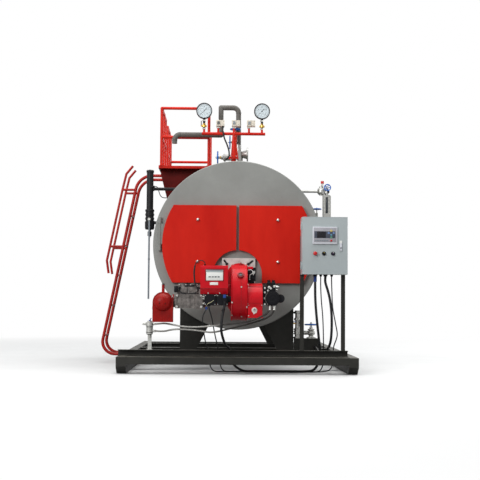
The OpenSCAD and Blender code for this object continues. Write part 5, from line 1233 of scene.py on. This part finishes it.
# %% Guard
POST_X, EDGE_X = -850, -320
POSTS = [(POST_X, y) for y in (520, 925, 1330, 1780, 2210, 2640)] + [(EDGE_X, y) for y in (520, 2640)]
feet = [turned([(0, 0), (29, 0), (29, 5), (17.5, 5), (17.5, 9), (0, 9)], (x, y, 2246), "z", 24)
        for x, y in POSTS]
feet += [bolt((x + 0.1, y + s * 22.5, 2251), "z", 3.6, 3, washer=False) for x, y in POSTS for s in (-1, 1)]
piece("guard_feet", feet, rail_paint)
beads = []
for z in (2571, 2896):
    for y in (520, 925, 1330):
        beads += [bead((POST_X, y + d, z), "y", 16.5, 3, 20) for d in (-17, 17) if 520 < y + d < 1330]
    for y in (1780, 2210, 2640):
        beads += [bead((POST_X, y + d, z), "y", 16.5, 3, 20) for d in (-17, 17) if 1780 < y + d < 2640]
    beads += [bead((x, y, z), "x", 16.5, 3, 20) for y in (520, 2640) for x in (POST_X + 17, EDGE_X - 17)]
piece("guard_welds", beads, rail_paint)

# %% Ladder pads and welds
def stile_x(z):
    return -1565 + (z - 279) * 368 / 1792


SIDES = (1345, 1765)
ladder_parts = []
for y in SIDES:
    ladder_parts += [slab((-888, y - 30, 2202), (-880.5, y + 30, 2261), 2),
                     bead((-889, y, 2231.5), "x", 18, 4)]
    ladder_parts += [slab((-1238, y - 34, 78), (-1230.5, y + 34, 138), 2), bead((-1239, y, 106), "x", 18, 4)]
for z in range(320, 2100, 360):
    ladder_parts += [bead((stile_x(z), y + d, z), "y", 11, 2.5, 16)
                     for y, d in ((SIDES[0], 18.5), (SIDES[1], -18.5))]
for y in SIDES:
    ladder_parts += [bead((stile_x(z) - 19, y, z), "x", 14, 2.5, 18) for z in (1380, 2060)]
piece("ladder_pads", ladder_parts, ladder_paint)
piece("ladder_bolts", [bolt((-888, y + s * 22, 2254), "-x", 5, 5) for y in SIDES for s in (-1, 1)]
      + [bolt((-1238, y + s * 26, z), "-x", 6, 6) for y in SIDES for s in (-1, 1) for z in (88, 128)],
      turned_steel)

# %% Skid welds and saddle bolts
welds = []
for y in (210, 1640, 2910, 3324):
    for x in (-1131, 1131):
        welds += [bar((x, y + d, 98), (x, y + d, 171), 4, 8) for d in (-71, 71)]
for x in (-1131, 1131):
    welds += [bar((x, -351, 98), (x, -351, 171), 4, 8), bar((x, -495, 172.5), (x, -354, 172.5), 3.5, 8)]
welds += [bar((x, -300.5, 174), (x + w, -300.5, 174), 3.5, 8) for x, w in ((-1225, 84), (1040, 84))]
for y in (150, 2850):
    for s in (-1, 1):
        welds += [bar((s * 460, y - 1, 174), (s * 608, y - 1, 174), 4, 8),
                  bar((s * 611, y, 174), (s * 611, y + 118, 174), 4, 8)]
piece("skid_welds", welds, skid_paint)
piece("saddle_bolts",
      [bolt((s * x, y + 70, 184), "z", 13, 11) for y in (150, 2850) for s in (-1, 1) for x in (500, 566)],
      turned_steel)

# %% [markdown]
# ## Drum, doors and smoke box
# Bands with small rivets hold the shell's cladding. A rope seal lies round each door's
# lining. The round hatch at the back is held by a ring of bolts and carries two
# handles.

# %% Cladding bands
bands = [turned([(884.8, 0), (887.2, 1), (887.2, 49), (884.8, 50)], (0, y, AXIS_Z), "y", 144)
         for y in (960, 1960, 2700)]
piece("cladding_bands", bands, shell_paint)
rivets = []
for y in (960, 1960, 2700):
    for i in range(30):
        a = math.tau * (i + 0.5) / 30
        rivets.append(turned([(0, 3.4), (4.6, 2.6), (6.4, 0), (6.4, -1.5)],
                             (887 * math.cos(a), y + 25, AXIS_Z + 887 * math.sin(a)),
                             (math.cos(a), 0, math.sin(a)), 8))
piece("cladding_rivets", rivets, zinc)

# %% Rope seals
def arc(centre, radius, first, last, r=5.0, steps=40):
    """A round rope bent about an axis along y, between two angles in degrees above +x."""
    loop = [(radius + r * math.cos(math.tau * k / 10), r * math.sin(math.tau * k / 10)) for k in range(11)]
    return turned(loop, centre, "-y", steps, math.radians(last - first), math.radians(first))


def on_side(side, first, last):
    """Two angles for the right side, or the same span mirrored to the left."""
    return (first, last) if side == 1 else (180 - last, 180 - first)


TOP, FOOT = 1727, 963
for side, body in ((-1, "left_door"), (1, "right_door")):
    rope = [arc((0, -5, AXIS_Z), 770, *on_side(side, -29.1, 30.3), steps=40),
            arc((0, -5, 1021), 290, *on_side(side, 0, 81.1), steps=32)]
    for (x0, z0), (x1, z1) in (((45, 1307), (45, TOP)), ((45, TOP), (664, TOP)), ((290, FOOT), (290, 1021)),
                               ((290, FOOT), (673, FOOT))):
        rope.append(bar((side * x0, -5, z0), (side * x1, -5, z1), 5, 10))
    piece(f"{body}_seal", rope, seal_rope, body)

# %% Smoke box hatch and flue
piece("hatch_bolts", bolt_circle((0, 3544, 1078), "y", 226, 12, 10, 9), turned_steel)
handles = []
for s in (-1, 1):
    handles += [bar((s * 92, 3541, z), (s * 92, 3584, z), 7) for z in (1016, 1140)]
    handles += [bar((s * 92, 3580, 1012), (s * 92, 3580, 1144), 7)]
piece("hatch_handles", handles, black_steel)
piece("hatch_welds", [bead((0, 3474, 1078), "y", 230, 5, 64), bead((0, 3474, 1758), "y", 165, 5, 64),
                      bead((0, 3264, AXIS_Z), "y", 780, 6, 120), bead((0, 3240, AXIS_Z), "y", 885, 5, 144)],
      shell_paint)
piece("flue_lining", [turned([(159.6, 0), (159.6, 126)], (0, 3476, 1758), "y", 64)], sooty_steel)
piece("front_weld", [bead((0, 41, AXIS_Z), "y", 884.6, 5, 144)], shell_paint)

# %% [markdown]
# ## The cords' lengths
# Each cord's real length and thickness are printed. A tie and a blue sleeve sit on the main cable, and
# conduits go over the cable that climbs to the header and over the one beside the control box.

# %% Conduits and cord lengths
def conduit(name, route):
    tube, _, _ = cord_piece(name, route, 8.5)
    tube.data.materials.append(cable_rubber)
    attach(tube, "boiler")
    return tube


header_conduit = conduit("header_conduit", routes["header_cable"][2][2:9])
box_conduit = conduit("box_conduit", routes["box_cable"][2][4:8])
for name, (start, length, radius, stiffness) in measured.items():
    print(f"{name}: {length:.2f} m long, {2 * radius:g} mm thick")
